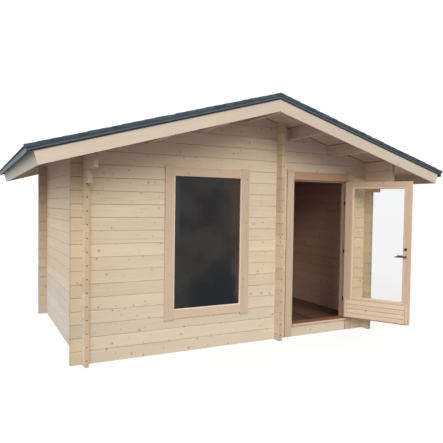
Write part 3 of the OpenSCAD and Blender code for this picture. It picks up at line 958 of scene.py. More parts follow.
class LaidPieces:
    """A Geometry Nodes tree that lays copies of one small piece on given points."""

    def __init__(self) -> None:
        """Builds the tree with its named inputs."""
        self.tree = bpy.data.node_groups.new("laid_pieces", "GeometryNodeTree")
        self.inputs: dict[str, str] = {}
        face = self.tree.interface
        kinds = {"Points": "Geometry", "Piece": "Object", "Width": "Float", "Length": "Float",
                 "Thickness": "Float", "Wobble": "Float", "Seed": "Int", "Finish": "Material"}
        for name, kind in kinds.items():
            made = face.new_socket(name=name, in_out="INPUT", socket_type="NodeSocket" + kind)
            self.inputs[name] = made.identifier
        face.new_socket(name="Laid", in_out="OUTPUT", socket_type="NodeSocketGeometry")
        self._wire()

    def _wire(self) -> None:
        """Links the tree: turn and stretch each copy, then realize them and set their finish."""
        bench = Bench(self.tree)
        source = bench.add("NodeGroupInput")
        given = {name: bench.out(source, name) for name in self.inputs}
        turn, stretch = (bench.out(bench.add("GeometryNodeInputNamedAttribute", {"data_type": "FLOAT_VECTOR"},
                                             {"Name": name})) for name in ("turn", "stretch"))
        size = bench.vector(given["Width"], given["Length"], given["Thickness"])
        scale = bench.add("ShaderNodeVectorMath", {"operation": "MULTIPLY"}, {0: stretch, 1: size})
        shake = bench.add("FunctionNodeRandomValue", {"data_type": "FLOAT_VECTOR"},
                          {0: given["Wobble"] * -1.0, 1: given["Wobble"], "Seed": given["Seed"]})
        turns = [bench.out(bench.add("FunctionNodeEulerToRotation", None, {"Euler": euler}))
                 for euler in (turn, bench.out(shake))]
        spin = bench.add("FunctionNodeRotateRotation", {"rotation_space": "LOCAL"},
                         {"Rotation": turns[0], "Rotate By": turns[1]})
        shape = bench.out(bench.add("GeometryNodeObjectInfo", None, {"Object": given["Piece"]}), "Geometry")
        laid = bench.add("GeometryNodeInstanceOnPoints", None,
                         {"Points": given["Points"], "Instance": shape, "Rotation": bench.out(spin),
                          "Scale": bench.out(scale)})
        solid = bench.add("GeometryNodeRealizeInstances", None, {"Geometry": bench.out(laid)})
        coat = bench.add("GeometryNodeSetMaterial", None,
                         {"Geometry": bench.out(solid), "Material": given["Finish"]})
        bench.add("NodeGroupOutput", None, {0: bench.out(coat)})

    def lay(self, name: str, spots: "Spots", template: Object, size: Sequence[float], finish: Finish,
            wobble: float, seed: int) -> Object:
        """Lays the piece on the spots.

        Args:
            name: the new object's name.
            spots: where the copies go.
            template: the small piece, one unit in each direction, which is removed afterwards.
            size: the piece's width, length and thickness.
            finish: what the copies wear.
            wobble: the most that a copy turns out of true, in radians.
            seed: start of the random numbers.

        Returns:
            One plain mesh object of all the copies.
        """
        host = spots.as_object(name)
        modifier = host.modifiers.new("lay", "NODES")
        modifier.node_group = self.tree
        values = {"Piece": template, "Width": size[0], "Length": size[1], "Thickness": size[2],
                  "Wobble": wobble, "Seed": seed, "Finish": finish.material()}
        for key, value in values.items():
            modifier[self.inputs[key]] = value
        baked(host)
        bpy.data.objects.remove(template)
        return host


@dataclass
class Spots:
    """Places for copies: where, how turned and how stretched."""

    at: list[Vector] = field(default_factory=list)
    turn: list[Euler] = field(default_factory=list)
    stretch: list[tuple[float, float, float]] = field(default_factory=list)

    def add(self, at: Vector, turn: Matrix, stretch: tuple[float, float, float] = (1.0, 1.0, 1.0)) -> None:
        """Adds one place.

        Args:
            at: where the copy's origin goes.
            turn: how it is turned, as a matrix without scale.
            stretch: how it is stretched along its own axes.
        """
        self.at.append(at)
        self.turn.append(turn.to_euler())
        self.stretch.append(stretch)

    def as_object(self, name: str) -> Object:
        """Makes the places a mesh of loose points with attributes.

        Args:
            name: the new object's name.

        Returns:
            The object.
        """
        mesh = bmesh.new()
        for place in self.at:
            mesh.verts.new(place)
        made = piece(mesh, name)
        luck = random.Random(len(self.at))
        store(made.data, "turn", [tuple(turn) for turn in self.turn])
        store(made.data, "stretch", self.stretch)
        store(made.data, TONE, [luck.random() for _ in self.at])
        return made


def facing_matrix(normal: Vector, along: Vector) -> Matrix:
    """A turn from two directions.

    Args:
        normal: where its Z points.
        along: the way that its Y keeps to as far as it can.

    Returns:
        The turn as a matrix.
    """
    z = normal.normalized()
    y = (along - z * along.dot(z)).normalized()
    x = y.cross(z)
    return Matrix((x, y, z)).transposed()


def head_template(sides: int = 16) -> Object:
    """Makes a round, slightly domed head with a cross-shaped pit, one unit across, standing on Z = 0.

    Args:
        sides: corners of its outline, in fours.

    Returns:
        The template.
    """
    rings = []
    for radius, height, cross in ((0.50, 0.0, 1.0), (0.50, 0.55, 1.0), (0.42, 0.85, 1.0), (0.25, 1.0, 1.0),
                                  (0.16, 0.45, 1.4)):
        reach = [radius if i % 4 else radius * cross for i in range(sides)]
        turns = [math.tau * i / sides for i in range(sides)]
        rings.append([Vector((r * math.cos(t), r * math.sin(t), height)) for r, t in zip(reach, turns)])
    mesh = bmesh.new()
    lofted(mesh, rings)
    return piece(mesh, "head_template")


# Sub-assemblies


@dataclass
class LogWalls:
    """The log stacks, which keep their CAD shape and get knotty pine."""

    cross: tuple[str, ...] = ("front_sill_log", "front_wall_corner", "front_wall_under_window",
                              "front_wall_pier", "front_gable")
    partition: tuple[str, ...] = ("partition_sill_log", "partition_front", "partition_back", "partition_head")
    corner: float = 1.872

    @staticmethod
    def logs(name: str, grain: Axis, **more: object) -> StackedWood:
        """The finish of one wall, whose logs lie half a course higher in the side walls.

        Args:
            name: the finish's name.
            grain: the way its logs run.
            more: further fields of the finish.

        Returns:
            The finish.
        """
        across = grain is Axis.X
        values = {"middle": END_MIDDLE if across else SIDE_MIDDLE, "tongues": True, "roofed": True, **more}
        depth = Axis.Y if across else Axis.X
        return StackedWood(name, grain, Axis.Z, COURSE, 0.0 if across else COURSE / 2, depth, **values)

    def build(self) -> None:
        """Paints every stack, each wall with its own run of logs."""
        ends = {"grain": Axis.X, "stub": self.corner}
        middle = sum(corner.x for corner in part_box("partition_sill_log")) / 2
        for nodes, finish in (
                (self.cross, self.logs("front_logs", seed=1.0, worn=0.25, **ends)),
                (("back_wall",), self.logs("back_logs", seed=2.0, worn=0.5, **ends)),
                # painted light on the logs behind the open leaf
                (("front_wall_hinge_side",), self.logs("hinge_side_logs", seed=1.0, timber=PAINTED_LIGHT_PINE, **ends)),
                (("left_wall", "left_eaves_logs"), self.logs("left_logs", Axis.Y, seed=3.0, worn=0.85)),
                # painted light on the right wall too
                (("right_wall", "right_eaves_logs"),
                 self.logs("right_logs", Axis.Y, seed=4.0, worn=0.2, timber=PAINTED_LIGHT_PINE)),
                (self.partition, self.logs("partition_logs", Axis.Y, seed=5.0, worn=0.25, roofed=False,
                                           middle=middle))):
            for node in nodes:
                paint(node, finish)


@dataclass
class Floor:
    """Floor boards on their bearers."""

    board: float = 0.112

    def build(self) -> None:
        """Paints the boards and dresses the bearers."""
        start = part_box("floor_boards")[0].x
        paint("floor_boards", StackedWood("floor_boards", Axis.Y, Axis.X, self.board, start, Axis.Z, seed=6.0,
                                          timber=STAINED, painted_indoor_shade=(1.0, 1.0, 1.0)))
        boarded("floor_bearers", "bearers", Vector((1, 0, 0)), 11, PURLIN, "log_pine")


@dataclass(frozen=True)
class Slope:
    """One half of the roof; side is 1 for the right one and -1 for the left one."""

    side: int
    word: str

    def on(self, s: float, y: float, n: float) -> Vector:
        """A point given by the slope's own directions.

        Args:
            s: distance down the slope from the frame's origin.
            y: distance along the roof.
            n: distance square to the slope.

        Returns:
            The point in the shared frame.
        """
        x = s * math.cos(SLOPE) + n * math.sin(SLOPE)
        return Vector((self.side * x, y, n * math.cos(SLOPE) - s * math.sin(SLOPE)))

    @property
    def down(self) -> Vector:
        """The way down the slope."""
        return self.on(1, 0, 0)

    @property
    def square(self) -> Vector:
        """The way square to the slope."""
        return self.on(0, 0, 1)

    def plumbed(self, mesh: BMesh) -> None:
        """Cuts away what passes the ridge and closes the cut.

        Args:
            mesh: a bmesh that lies on this slope.
        """
        everything = mesh.verts[:] + mesh.edges[:] + mesh.faces[:]
        found = bmesh.ops.bisect_plane(mesh, geom=everything, plane_co=(0, 0, 0), plane_no=(-self.side, 0, 0),
                                       clear_outer=True)
        rim = [edge for edge in found["geom_cut"] if isinstance(edge, bmesh.types.BMEdge)]
        if rim:
            bmesh.ops.holes_fill(mesh, edges=rim)
            bmesh.ops.recalc_face_normals(mesh, faces=mesh.faces)


SLOPES = (Slope(1, "right"), Slope(-1, "left"))


def flipped(mesh: BMesh) -> None:
    """Mirrors a bmesh across X and turns its faces out again."""
    bmesh.ops.scale(mesh, vec=(-1, 1, 1), verts=mesh.verts)
    bmesh.ops.recalc_face_normals(mesh, faces=mesh.faces)


@dataclass
class Roof:
    """Purlins, boards, barge boards, underlay, shingles, verges and the ridge."""

    boards: int = 35
    exposure: float = 0.140
    lap: float = 0.060
    tab: float = 0.330
    tab_gap: float = 0.006
    tab_cut: float = 0.06
    tab_clear: float = 0.004
    bend_run: float = 0.035
    starter_run: float = 0.012
    top_clear: float = 0.05
    sheet: float = 0.0030
    felt: float = 0.0015
    fillet_h: float = 0.020
    fillet_w: float = 0.090
    overhang: float = 0.009
    lip_out: float = 0.005
    lip_h: float = 0.009
    batten_w: float = 0.040
    batten_top: float = 0.021
    verge_exposure: float = 0.105
    verge_lap: float = 0.045
    verge_sheet: float = 0.0042
    verge_turn: float = 0.026
    verge_over: float = 0.003
    verge_wing: float = 0.085
    verge_start: float = 0.006
    ridge_wing: float = 0.145
    ridge_exposure: float = 0.135
    ridge_lap: float = 0.06
    past_ridge: float = 0.01

    def __post_init__(self) -> None:
        """Reads the roof's planes from the frame."""
        self.half_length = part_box("right_roof_boards")[1].y
        self.pitch = 2 * self.half_length / self.boards
        self.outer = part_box("right_roofing")[1].y
        cover = self.turned("right_roofing")
        self.deck = self.turned("right_roof_boards")[:, 1].max()
        self.top = cover[:, 1].max()
        self.crest, self.reach = cover[:, 0].min(), cover[:, 0].max()
        self.eave_under = cover[:, 1].min()
        self.verge_under = cover[cover[:, 0] < self.reach - 0.3][:, 1].min()

    @staticmethod
    def turned(node: str) -> np.ndarray:
        """Measures a right-hand node's corners along the slope.

        Args:
            node: the node's name.

        Returns:
            A row for each corner, with its distance down the slope and square to it.
        """
        points = np.array([v.co for v in frame["nodes"][node].data.vertices])
        cos, sin = math.cos(SLOPE), math.sin(SLOPE)
        return np.stack([points[:, 0] * cos - points[:, 2] * sin, points[:, 0] * sin + points[:, 2] * cos], 1)

    def build(self, layer: LaidPieces) -> None:
        """Builds and dresses the whole roof.

        Args:
            layer: what lays the repeated pieces.
        """
        self._timber()
        for slope in SLOPES:
            self._underlay(slope)
            self._lips(slope)
            self._tabs(slope, layer)
            self._verges(slope, layer)
        self._ridge(layer)

    def _timber(self) -> None:
        """Dresses the purlins, roof boards, barge boards and fascias."""
        for side, seed in (("right", 8.0), ("left", 7.0)):
            # the roof boards' undersides get painted shade all over
            wood = StackedWood(f"{side}_soffit", Axis.X, Axis.Y, self.pitch, -self.half_length, Axis.Z,
                               slope=SLOPE, seed=seed, painted_full_shade=True)
            paint(f"{side}_roof_boards", wood)
        back = Vector((0, 1, 0))
        boarded("ridge_purlin", "ridge_beam", back, 21, PURLIN, "log_pine")
        boarded("slope_purlins", "purlins", back, 22, PURLIN, "log_pine")
        for number, end in enumerate(("front_left", "front_right", "back_left", "back_right")):
            slope = next(each for each in SLOPES if each.word in end)
            boarded(end + "_barge_board", end + "_barge", slope.down, 31 + number, BARGE_BOARD, ease=1.2 * MM)
        boarded("eave_fascias", "eave_planks", back, 37, FASCIA_BOARD, ease=1.5 * MM)

    def _underlay(self, slope: Slope) -> None:
        """Lays the felt under the shingles, up over the verge battens and the eave's fillet.

        Args:
            slope: where it lies.
        """
        edge, thick, skin = self.outer, self.felt, self.deck + self.felt
        batten = self.top - self.verge_sheet
        rim = [(edge, self.verge_under), (edge, batten), (edge - self.batten_w / 2, batten),
               (edge - self.batten_w, skin)]
        under = [(edge - thick, self.verge_under), (edge - thick, self.deck)]
        outline = [(-y, n) for y, n in rim] + rim[::-1] + under + [(-y, n) for y, n in under[::-1]]
        mesh = bmesh.new()
        swept(mesh, [slope.on(self.crest - self.past_ridge, y, n) for y, n in outline],
              slope.down * (self.reach - thick - self.crest + self.past_ridge))
        end, start = self.reach, self.reach - self.fillet_w
        wedge = [(end - thick, self.eave_under), (end, self.eave_under), (end, skin + self.fillet_h),
                 (start, skin), (start, self.deck), (end - thick, self.deck)]
        swept(mesh, [slope.on(s, -edge, n) for s, n in wedge], Vector((0, 2 * edge, 0)))
        slope.plumbed(mesh)
        made = piece(mesh, f"{slope.word}_underlay")
        dressed(made, FELT, "cabin", "roofing_felt", f"{slope.word}_roofing")

    def _lips(self, slope: Slope) -> None:
        """Adds the drip lips along the lower edge of every fold, near-black partly as painted shade of the
        shadow line there.

        Args:
            slope: where they hang.
        """
        edge, out, high = self.outer, self.lip_out, self.lip_h
        mesh = bmesh.new()
        run = slope.down * (self.reach - self.crest)
        for end in (-1, 1):
            corners = ((edge, 0.0), (edge + out, 0.0), (edge + out, high), (edge, high + out))
            swept(mesh, [slope.on(self.crest, end * y, self.verge_under + n) for y, n in corners], run)
        end, low = self.reach, self.eave_under
        corners = ((end, low), (end + out, low), (end + out, low + high), (end, low + high + out))
        swept(mesh, [slope.on(s, -edge, n) for s, n in corners], Vector((0, 2 * edge, 0)))
        slope.plumbed(mesh)
        dressed(piece(mesh, f"{slope.word}_drip_lips"), LIP_AND_SHADE, "cabin", "roofing_felt")

    def _tab_template(self) -> Object:
        """Makes one tab: a plate of one unit each way, with its lower corners cut off.

        Returns:
            The template.
        """
        cut = self.tab_cut
        half = [(0.5 - cut, 0.0), (0.5 - cut / 2, cut * 0.3), (0.5, cut), (0.5, 1.0)]
        mesh = bmesh.new()
        outline = [(-x, y) for x, y in half[::-1]] + half
        swept(mesh, [Vector((x, y, 0.0)) for x, y in outline], Vector((0, 0, 1)))
        return piece(mesh, "tab_template")

    def _eave_template(self, stations: Sequence[tuple[float, float]]) -> Object:
        """Makes a tab that follows the fillet, one unit wide.

        Args:
            stations: distance up the slope and height, from its lowest edge up.

        Returns:
            The template.
        """
        lower = [Vector((-0.5, y, z)) for y, z in stations]
        upper = [Vector((-0.5, y, z + self.sheet)) for y, z in stations[::-1]]
        mesh = bmesh.new()
        swept(mesh, lower + upper, Vector((1, 0, 0)))
        return piece(mesh, "eave_template")

    def _tabs(self, slope: Slope, layer: LaidPieces) -> None:
        """Lays the shingle tabs in courses from the eave up, each course half a tab along.

        Args:
            slope: where they lie.
            layer: what lays them.
        """
        limit = self.outer - self.batten_w - self.tab_clear
        count = round(2 * limit / self.tab)
        width = 2 * limit / count
        turn = facing_matrix(slope.square, -slope.down)
        uphill = turn @ Matrix.Rotation(-math.atan2(self.sheet, self.exposure), 3, "X")
        start = self.reach + self.overhang
        base = self.deck + self.felt
        bends = ((0.0, self.fillet_h), (self.fillet_w, 0.0), (self.fillet_w + self.bend_run, -self.sheet),
                 (self.exposure + self.lap, -self.sheet))
        starter = ((0.0, self.fillet_h), (self.fillet_w, 0.0), (self.fillet_w + self.starter_run, 0.0))
        rows = int((start - self.crest - self.top_clear) / self.exposure)
        laid = []
        for row in range(-1, rows):
            half = row % 2
            edges = [-limit + width * (k + 0.5 * half) for k in range(count + 1)]
            edges = [-limit] * half + [y for y in edges if y < limit - 0.01] + [limit]
            if row < 2:
                laid.append(Spots())
            lift = base + self.sheet * (row >= 0)
            for a, b in zip(edges, edges[1:]):
                at = slope.on(start - max(row, 0) * self.exposure, (a + b) / 2, lift)
                laid[-1].add(at, uphill if row > 0 else turn, ((b - a - self.tab_gap) / width, 1.0, 1.0))
        plans = (("starter", self._eave_template(starter), (width, 1.0, 1.0)),
                 ("eave_course", self._eave_template(bends), (width, 1.0, 1.0)),
                 ("shingles", self._tab_template(), (width, self.exposure + self.lap, self.sheet)))
        for spots, (part, template, size) in zip(laid, plans):
            name = f"{slope.word}_{part}"
            made = layer.lay(name, spots, template, size, SHINGLE, 0.0022, 5 + slope.side)
            dressed(made, SHINGLE, "cabin", "roofing_felt")

    def _verge_template(self) -> Object:
        """Makes one verge piece: a sheet bent over the batten, in metres, one unit long.

        Returns:
            The template.
        """
        sheet, over = self.verge_sheet, self.outer + self.verge_over
        top = self.top - 0.6 * sheet
        flat = self.deck + self.felt + 2.4 * self.sheet
        path = [(self.outer - self.verge_wing, flat), (self.outer - self.batten_w, flat),
                (self.outer - self.batten_top, top), (over - 0.003, top), (over, top - 0.003),
                (over, top - self.verge_turn)]
        ways = [(0, 1), (-0.35, 0.94), (-0.2, 0.98), (0.3, 0.95), (0.95, 0.3), (1, 0)]
        mesh = bmesh.new()
        rings = []
        for y, out in ((0.0, 2.0 * sheet), (1.0, 0.9 * sheet)):
            outer = [(a + out * w, n + out * h) for (a, n), (w, h) in zip(path, ways)]
            inner = [(a + (out - sheet) * w, n + (out - sheet) * h) for (a, n), (w, h) in zip(path, ways)]
            rings.append([Vector((a - self.outer, y, n - self.deck)) for a, n in outer + inner[::-1]])
        lofted(mesh, rings)
        return piece(mesh, "verge_template")

    def _verges(self, slope: Slope, layer: LaidPieces) -> None:
        """Lays the bent verge pieces, lapped like scales, down both ends of a slope.

        Args:
            slope: where they lie.
            layer: what lays them.
        """
        rows = int((self.reach - self.crest) / self.verge_exposure) + 2
        luck = random.Random(40 + slope.side)
        turn = Matrix((Vector((0, slope.side, 0)), -slope.down, slope.square)).transposed()
        for end, place in ((-1, "front"), (1, "back")):
            template = self._verge_template()
            if end != slope.side:
                edited(template, flipped)
            spots = Spots()
            for row in range(rows):
                s = self.reach + self.verge_start - row * self.verge_exposure
                s -= luck.uniform(0, 0.024) if row else 0.0
                stretch = (1.0 + luck.uniform(-0.02, 0.02), 1.0, 1.0 + luck.uniform(-0.04, 0.05))
                spots.add(slope.on(s, end * self.outer, self.deck), turn, stretch)
            name = f"{slope.word}_{place}_verge"
            size = (1.0, self.verge_exposure + self.verge_lap, 1.0)
            made = layer.lay(name, spots, template, size, SHINGLE, 0.0018, 60 + slope.side)
            edited(made, slope.plumbed)
            dressed(made, SHINGLE, "cabin", "roofing_felt")

    def _ridge(self, layer: LaidPieces) -> None:
        """Laps bent shingles along the ridge.

        Args:
            layer: what lays them.
        """
        sheet, slant = self.sheet, math.tan(SLOPE)
        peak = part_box("ridge_cap")[1].z - 2.2 * sheet
        bend = ((-1.0, -slant), (-0.08, -0.08 * slant), (0.0, -0.028 * slant), (0.08, -0.08 * slant),
                (1.0, -slant))
        across = self.ridge_wing * math.cos(SLOPE)
        rings = []
        for y, lift in ((0.0, 1.7 * sheet), (1.0, 0.0)):
            top = [Vector((x * across, y, z * across + lift)) for x, z in bend]
            rings.append(top + [p - Vector((0, 0, sheet)) for p in top[::-1]])
        mesh = bmesh.new()
        lofted(mesh, rings)
        template = piece(mesh, "ridge_template")
        length = self.ridge_exposure + self.ridge_lap
        edge = self.outer - self.batten_w
        count = int((2 * edge - length) / self.ridge_exposure) + 1
        spots = Spots()
        for i in range(count):
            spots.add(Vector((0, -edge + i * (2 * edge - length) / (count - 1), peak)), Matrix.Identity(3))
        made = layer.lay("ridge_shingles", spots, template, (1.0, length, 1.0), SHINGLE, 0.003, 71)
        dressed(made, SHINGLE, "cabin", "roofing_felt", "ridge_cap")


@dataclass
class Heads:
    """Small nail heads on the casings."""

    width: float = 0.0075
    height: float = 0.0012
    window: tuple[tuple[float, ...], ...] = ((0.47, 0.861, 1.340, 1.729), (0.668, 1.258, 1.610, 1.95))
    door: tuple[tuple[float, ...], ...] = ((0.26, 0.718, 1.211, 1.761), (0.26, 0.655, 1.189, 1.784))

    def build(self, layer: LaidPieces) -> None:
        """Nails the upright casings to the logs, one nail at each height.

        Args:
            layer: what lays the heads.
        """
        spots = Spots()
        luck = random.Random(9)
        turn = facing_matrix(Vector((0, -1, 0)), Vector((0, 0, 1)))
        for node, heights in (("window_side_casings", self.window), ("door_side_casings", self.door)):
            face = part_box(node)[0].y
            for (left, right), rows in zip(split_box(node), heights):
                for z in rows:
                    x = (left + right) / 2 + luck.uniform(-0.008, 0.008)
                    spots.add(Vector((x, face - 0.1 * MM, z)), turn)
        size = (self.width, self.width, self.height)
        made = layer.lay("casing_nails", spots, head_template(), size, RUST, 0.05, 81)
        dressed(made, RUST, "cabin", "black_steel")


def split_box(node: str) -> list[tuple[float, float]]:
    """Finds the X ranges of a node's left and right halves.

    Args:
        node: the node's name.

    Returns:
        Lowest and highest X of the left half and of the right half.
    """
    points = np.array([v.co.x for v in frame["nodes"][node].data.vertices])
    middle = (points.min() + points.max()) / 2
    left, right = points[points < middle], points[points > middle]
    return [(left.min(), left.max()), (right.min(), right.max())]


@dataclass
class Openings:
    """The fixed window and the door's frame, threshold and casings."""

    nosing: float = 0.008
    bead: float = 0.009
    bead_in: float = 0.003
    rebate: float = 0.010

    def build(self) -> None:
        """Dresses each piece along its own grain."""
        up, across = Vector((0, 0, 1)), Vector((1, 0, 0))
        boarded("window_frame", "window_box", up, 41, CASING_BOARD)
        boarded("window_side_casings", "window_uprights", up, 42, CASING_BOARD)
        boarded("window_cross_casings", "window_crosspieces", across, 43, CASING_BOARD)
        boarded("door_jambs", "door_posts", up, 51, DOOR_BOARD)
        boarded("door_head", "door_lintel", across, 52, DOOR_BOARD)
        boarded("threshold", "door_sill", across, 53, THRESHOLD, "threshold_pine")
        boarded("door_head_casing", "door_crosspiece", across, 55, SHADED_HEAD_BOARD)
        node = "door_side_casings"
        middle = sum(corner.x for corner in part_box(node)) / 2
        for name, keep, finish, nodes in (
                ("door_upright_left", lambda p: p.x < middle, CASING_BOARD, [node]),
                ("door_upright_right", lambda p: p.x > middle, DOOR_BOARD, [])):
            made = grained(eased(cad_copy(node, name, keep), 2 * MM), up, 54)
            dressed(made, finish, "cabin", "board_spruce", *nodes)
        paint("window_glass", DARK_PANE)
        paint("frame_hinges", BLACK_STEEL)
        self._beads()
        self._nosing()

    @staticmethod
    def _trim(name: str, bars: Sequence[tuple], ease: float, way: Vector, seed: int, finish: Finish) -> None:
        """Adds thin bars to the cabin as one piece.

        Args:
            name: the piece's name.
            bars: lowest and highest corners of each bar.
            ease: width of the rounding.
            way: the grain's direction.
            seed: start of the random numbers.
            finish: what it wears.
        """
        mesh = bmesh.new()
        for low, high in bars:
            bar(mesh, low, high)
        dressed(grained(eased(piece(mesh, name), ease), way, seed), finish, "cabin", "board_spruce")

    def _beads(self) -> None:
        """Adds the beads at the sides and foot of the window's glass, drawn very pale as a painted highlight.
        """
        (_, left), (right, _) = split_box("window_side_casings")
        glass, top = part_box("window_glass")
        foot = glass.z + self.rebate
        near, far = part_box("window_side_casings")[0].y + self.bead_in, glass.y
        sides = [((x, near, foot + self.bead), (x + self.bead, far, top.z - self.rebate))
                 for x in (left, right - self.bead)]
        self._trim("window_upright_beads", sides, 1 * MM, Vector((0, 0, 1)), 57, HIGHLIGHT_BEAD_BOARD)
        below = [((left, near, foot), (right, far, foot + self.bead))]
        self._trim("window_foot_bead", below, 1 * MM, Vector((1, 0, 0)), 58, HIGHLIGHT_BEAD_BOARD)

    def _nosing(self) -> None:
        """Adds the pale strip along the threshold's front edge, between the casings."""
        low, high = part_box("threshold")
        (_, left), (right, _) = split_box("door_side_casings")
        strip = [((left + 1 * MM, low.y - self.nosing, low.z + 3 * MM),
                  (right - 1 * MM, low.y + 1 * MM, high.z - 2 * MM))]
        self._trim("sill_nosing", strip, 2 * MM, Vector((1, 0, 0)), 56, CASING_BOARD)


@dataclass
class DoorLeaf:
    """The glazed leaf, built closed and swung to where it rests."""

    bead: float = 0.024
    bead_in: float = 0.003
    bead_slope: float = 0.008
    rail_gap: float = 0.0006
    bottom_rail: float = 0.092
    hold: float = 0.010
    capping: float = 0.010
    strip: float = 0.028
    boards: int = 4
    board_t: float = 0.012
    groove: float = 0.0035
    bottom_strip: float = 0.008

    def __post_init__(self) -> None:
        """Finds the hinge, how far the leaf stands open, and its closed boxes."""
        hinge = next(j for j in frame["joints"] if j["name"] == "door_hinge")
        pivot = Matrix.Translation(Vector(hinge["pos_m"]))
        self.swing = pivot @ Matrix.Rotation(-math.radians(hinge["range_deg"][0]), 4, "Z") @ pivot.inverted()
        self.leaf = self.closed_box("leaf_frame")
        self.foot = self.closed_box("leaf_foot_boards")
        low, high = self.closed_box("leaf_glass")
        self.x0, self.x1 = low.x + self.hold, high.x - self.hold
        self.z0, self.z1 = low.z + self.hold, high.z - self.hold

    def closed_box(self, node: str) -> tuple[Vector, Vector]:
        """Measures a leaf node with the door closed.

        Args:
            node: the node's name.

        Returns:
            Its lowest and highest corners.
        """
        back = self.swing.inverted()
        points = np.array([back @ v.co for v in frame["nodes"][node].data.vertices])
        return Vector(points.min(0)), Vector(points.max(0))

    def build(self) -> None:
        """Builds and dresses the leaf with its furniture."""
        self._joinery()
        self._beads()
        self._foot()
        paint("leaf_glass", CLEAR_PANE)
        paint("leaf_hinges", BLACK_STEEL)
        middle = sum(corner.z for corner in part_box("handle_roses")) / 2
        for name, keep, finish, nodes in (
                ("lever_roses", lambda p: p.z < middle, AGED_BRASS, ["handle_roses"]),
                ("lock_roses", lambda p: p.z > middle, DARK_BRASS, [])):
            roses = eased(cad_copy("handle_roses", name, keep), 1.6 * MM, 3)
            dressed(roses, finish, "door_leaf", "aged_brass", *nodes)
        paint("lever_handle", DULL_BRASS)

    def _swung(self, made: Object, upright: Callable[[Vector], bool], seed: int, finish: Finish,
               *nodes: str) -> None:
        """Grains a piece that was built closed, swings it open and dresses it.

        Args:
            made: the piece.
            upright: tells from a shell's middle whether its grain runs upwards.
            seed: start of the random numbers.
            finish: what it wears.
            nodes: the CAD nodes it stands for.
        """
        grained(made, lambda middle: Vector((0, 0, 1)) if upright(middle) else Vector((1, 0, 0)), seed)
        made.data.transform(self.swing)
        dressed(made, finish, "door_leaf", "board_spruce", *nodes)

    def _joinery(self) -> None:
        """Builds stiles, rails and the foot's plain panel, with a fine line at each joint."""
        low, high = self.leaf
        left, right, gap = self.x0 - self.bead, self.x1 + self.bead, self.rail_gap
        panel_top = self.foot[1].z - 2 * self.capping
        mesh = bmesh.new()
        for a, b in ((low.x, left), (right, high.x)):
            bar(mesh, (a, low.y, low.z), (b, high.y, high.z))
        for a, b in ((self.z1 + self.bead, high.z), (panel_top, self.z0 - self.bead),
                     (low.z, low.z + self.bottom_rail)):
            bar(mesh, (left + gap, low.y + gap, a), (right - gap, high.y - gap, b))
        bar(mesh, (left + gap, (low.y + high.y) / 2, low.z + self.bottom_rail),
            (right - gap, high.y - 1 * MM, panel_top))
        made = eased(piece(mesh, "leaf_joinery"), 2 * MM)
        self._swung(made, lambda p: p.x < left or p.x > right, 61, DOOR_BOARD, "leaf_frame")

    def _beads(self) -> None:
        """Builds the four mitred beads that hold the glass, sloped towards it on both faces."""
        near, far = self.leaf[0].y + self.bead_in, self.leaf[1].y - self.bead_in
        cut = self.bead_slope
        profile = [(self.bead, near), (cut, near), (0.0, near + cut), (0.0, far - cut), (cut, far),
                   (self.bead, far)]
        corners = [(self.x0, self.z0, -1, -1), (self.x1, self.z0, 1, -1), (self.x1, self.z1, 1, 1),
                   (self.x0, self.z1, -1, 1)]
        mesh = bmesh.new()
        for i in range(4):
            ends = (corners[i], corners[(i + 1) % 4])
            lofted(mesh, [[Vector((x + u * w, y, z + v * w)) for w, y in profile] for x, z, u, v in ends])
        made = eased(piece(mesh, "leaf_beads"), 1 * MM)
        self._swung(made, lambda p: p.x < self.x0 or p.x > self.x1, 63, FOOT_BOARD)

    def _foot(self) -> None:
        """Builds the foot's boards, end strips, capping and a dark strip along the bottom edge."""
        low, high = self.foot
        face = self.leaf[1].y
        x0, x1 = low.x + self.strip, high.x - self.strip
        base, cap = low.z + self.bottom_strip, high.z - self.capping
        pitch = (cap - base) / self.boards
        mesh = bmesh.new()
        for i in range(self.boards):
            z = base + i * pitch
            bar(mesh, (x0 + 1 * MM, face, z + self.groove / 2),
                (x1 - 1 * MM, face + self.board_t, z + pitch - self.groove / 2))
        for a, b in ((low.x, x0 - 1 * MM), (x1 + 1 * MM, high.x)):
            bar(mesh, (a, face, base), (b, high.y, cap - 1 * MM))
        bar(mesh, (low.x, face, cap), (high.x, high.y, high.z))
        made = eased(piece(mesh, "foot_boards"), 2.4 * MM, 1)
        self._swung(made, lambda p: (p.x < x0 or p.x > x1) and p.z < cap, 62, FOOT_BOARD, "leaf_foot_boards")
        mesh = bmesh.new()
        bar(mesh, (low.x, face, low.z), (high.x, high.y - 2 * MM, base - 0.5 * MM))
        self._swung(eased(piece(mesh, "foot_sweep"), 1 * MM), lambda p: False, 64, THRESHOLD)


# Stage


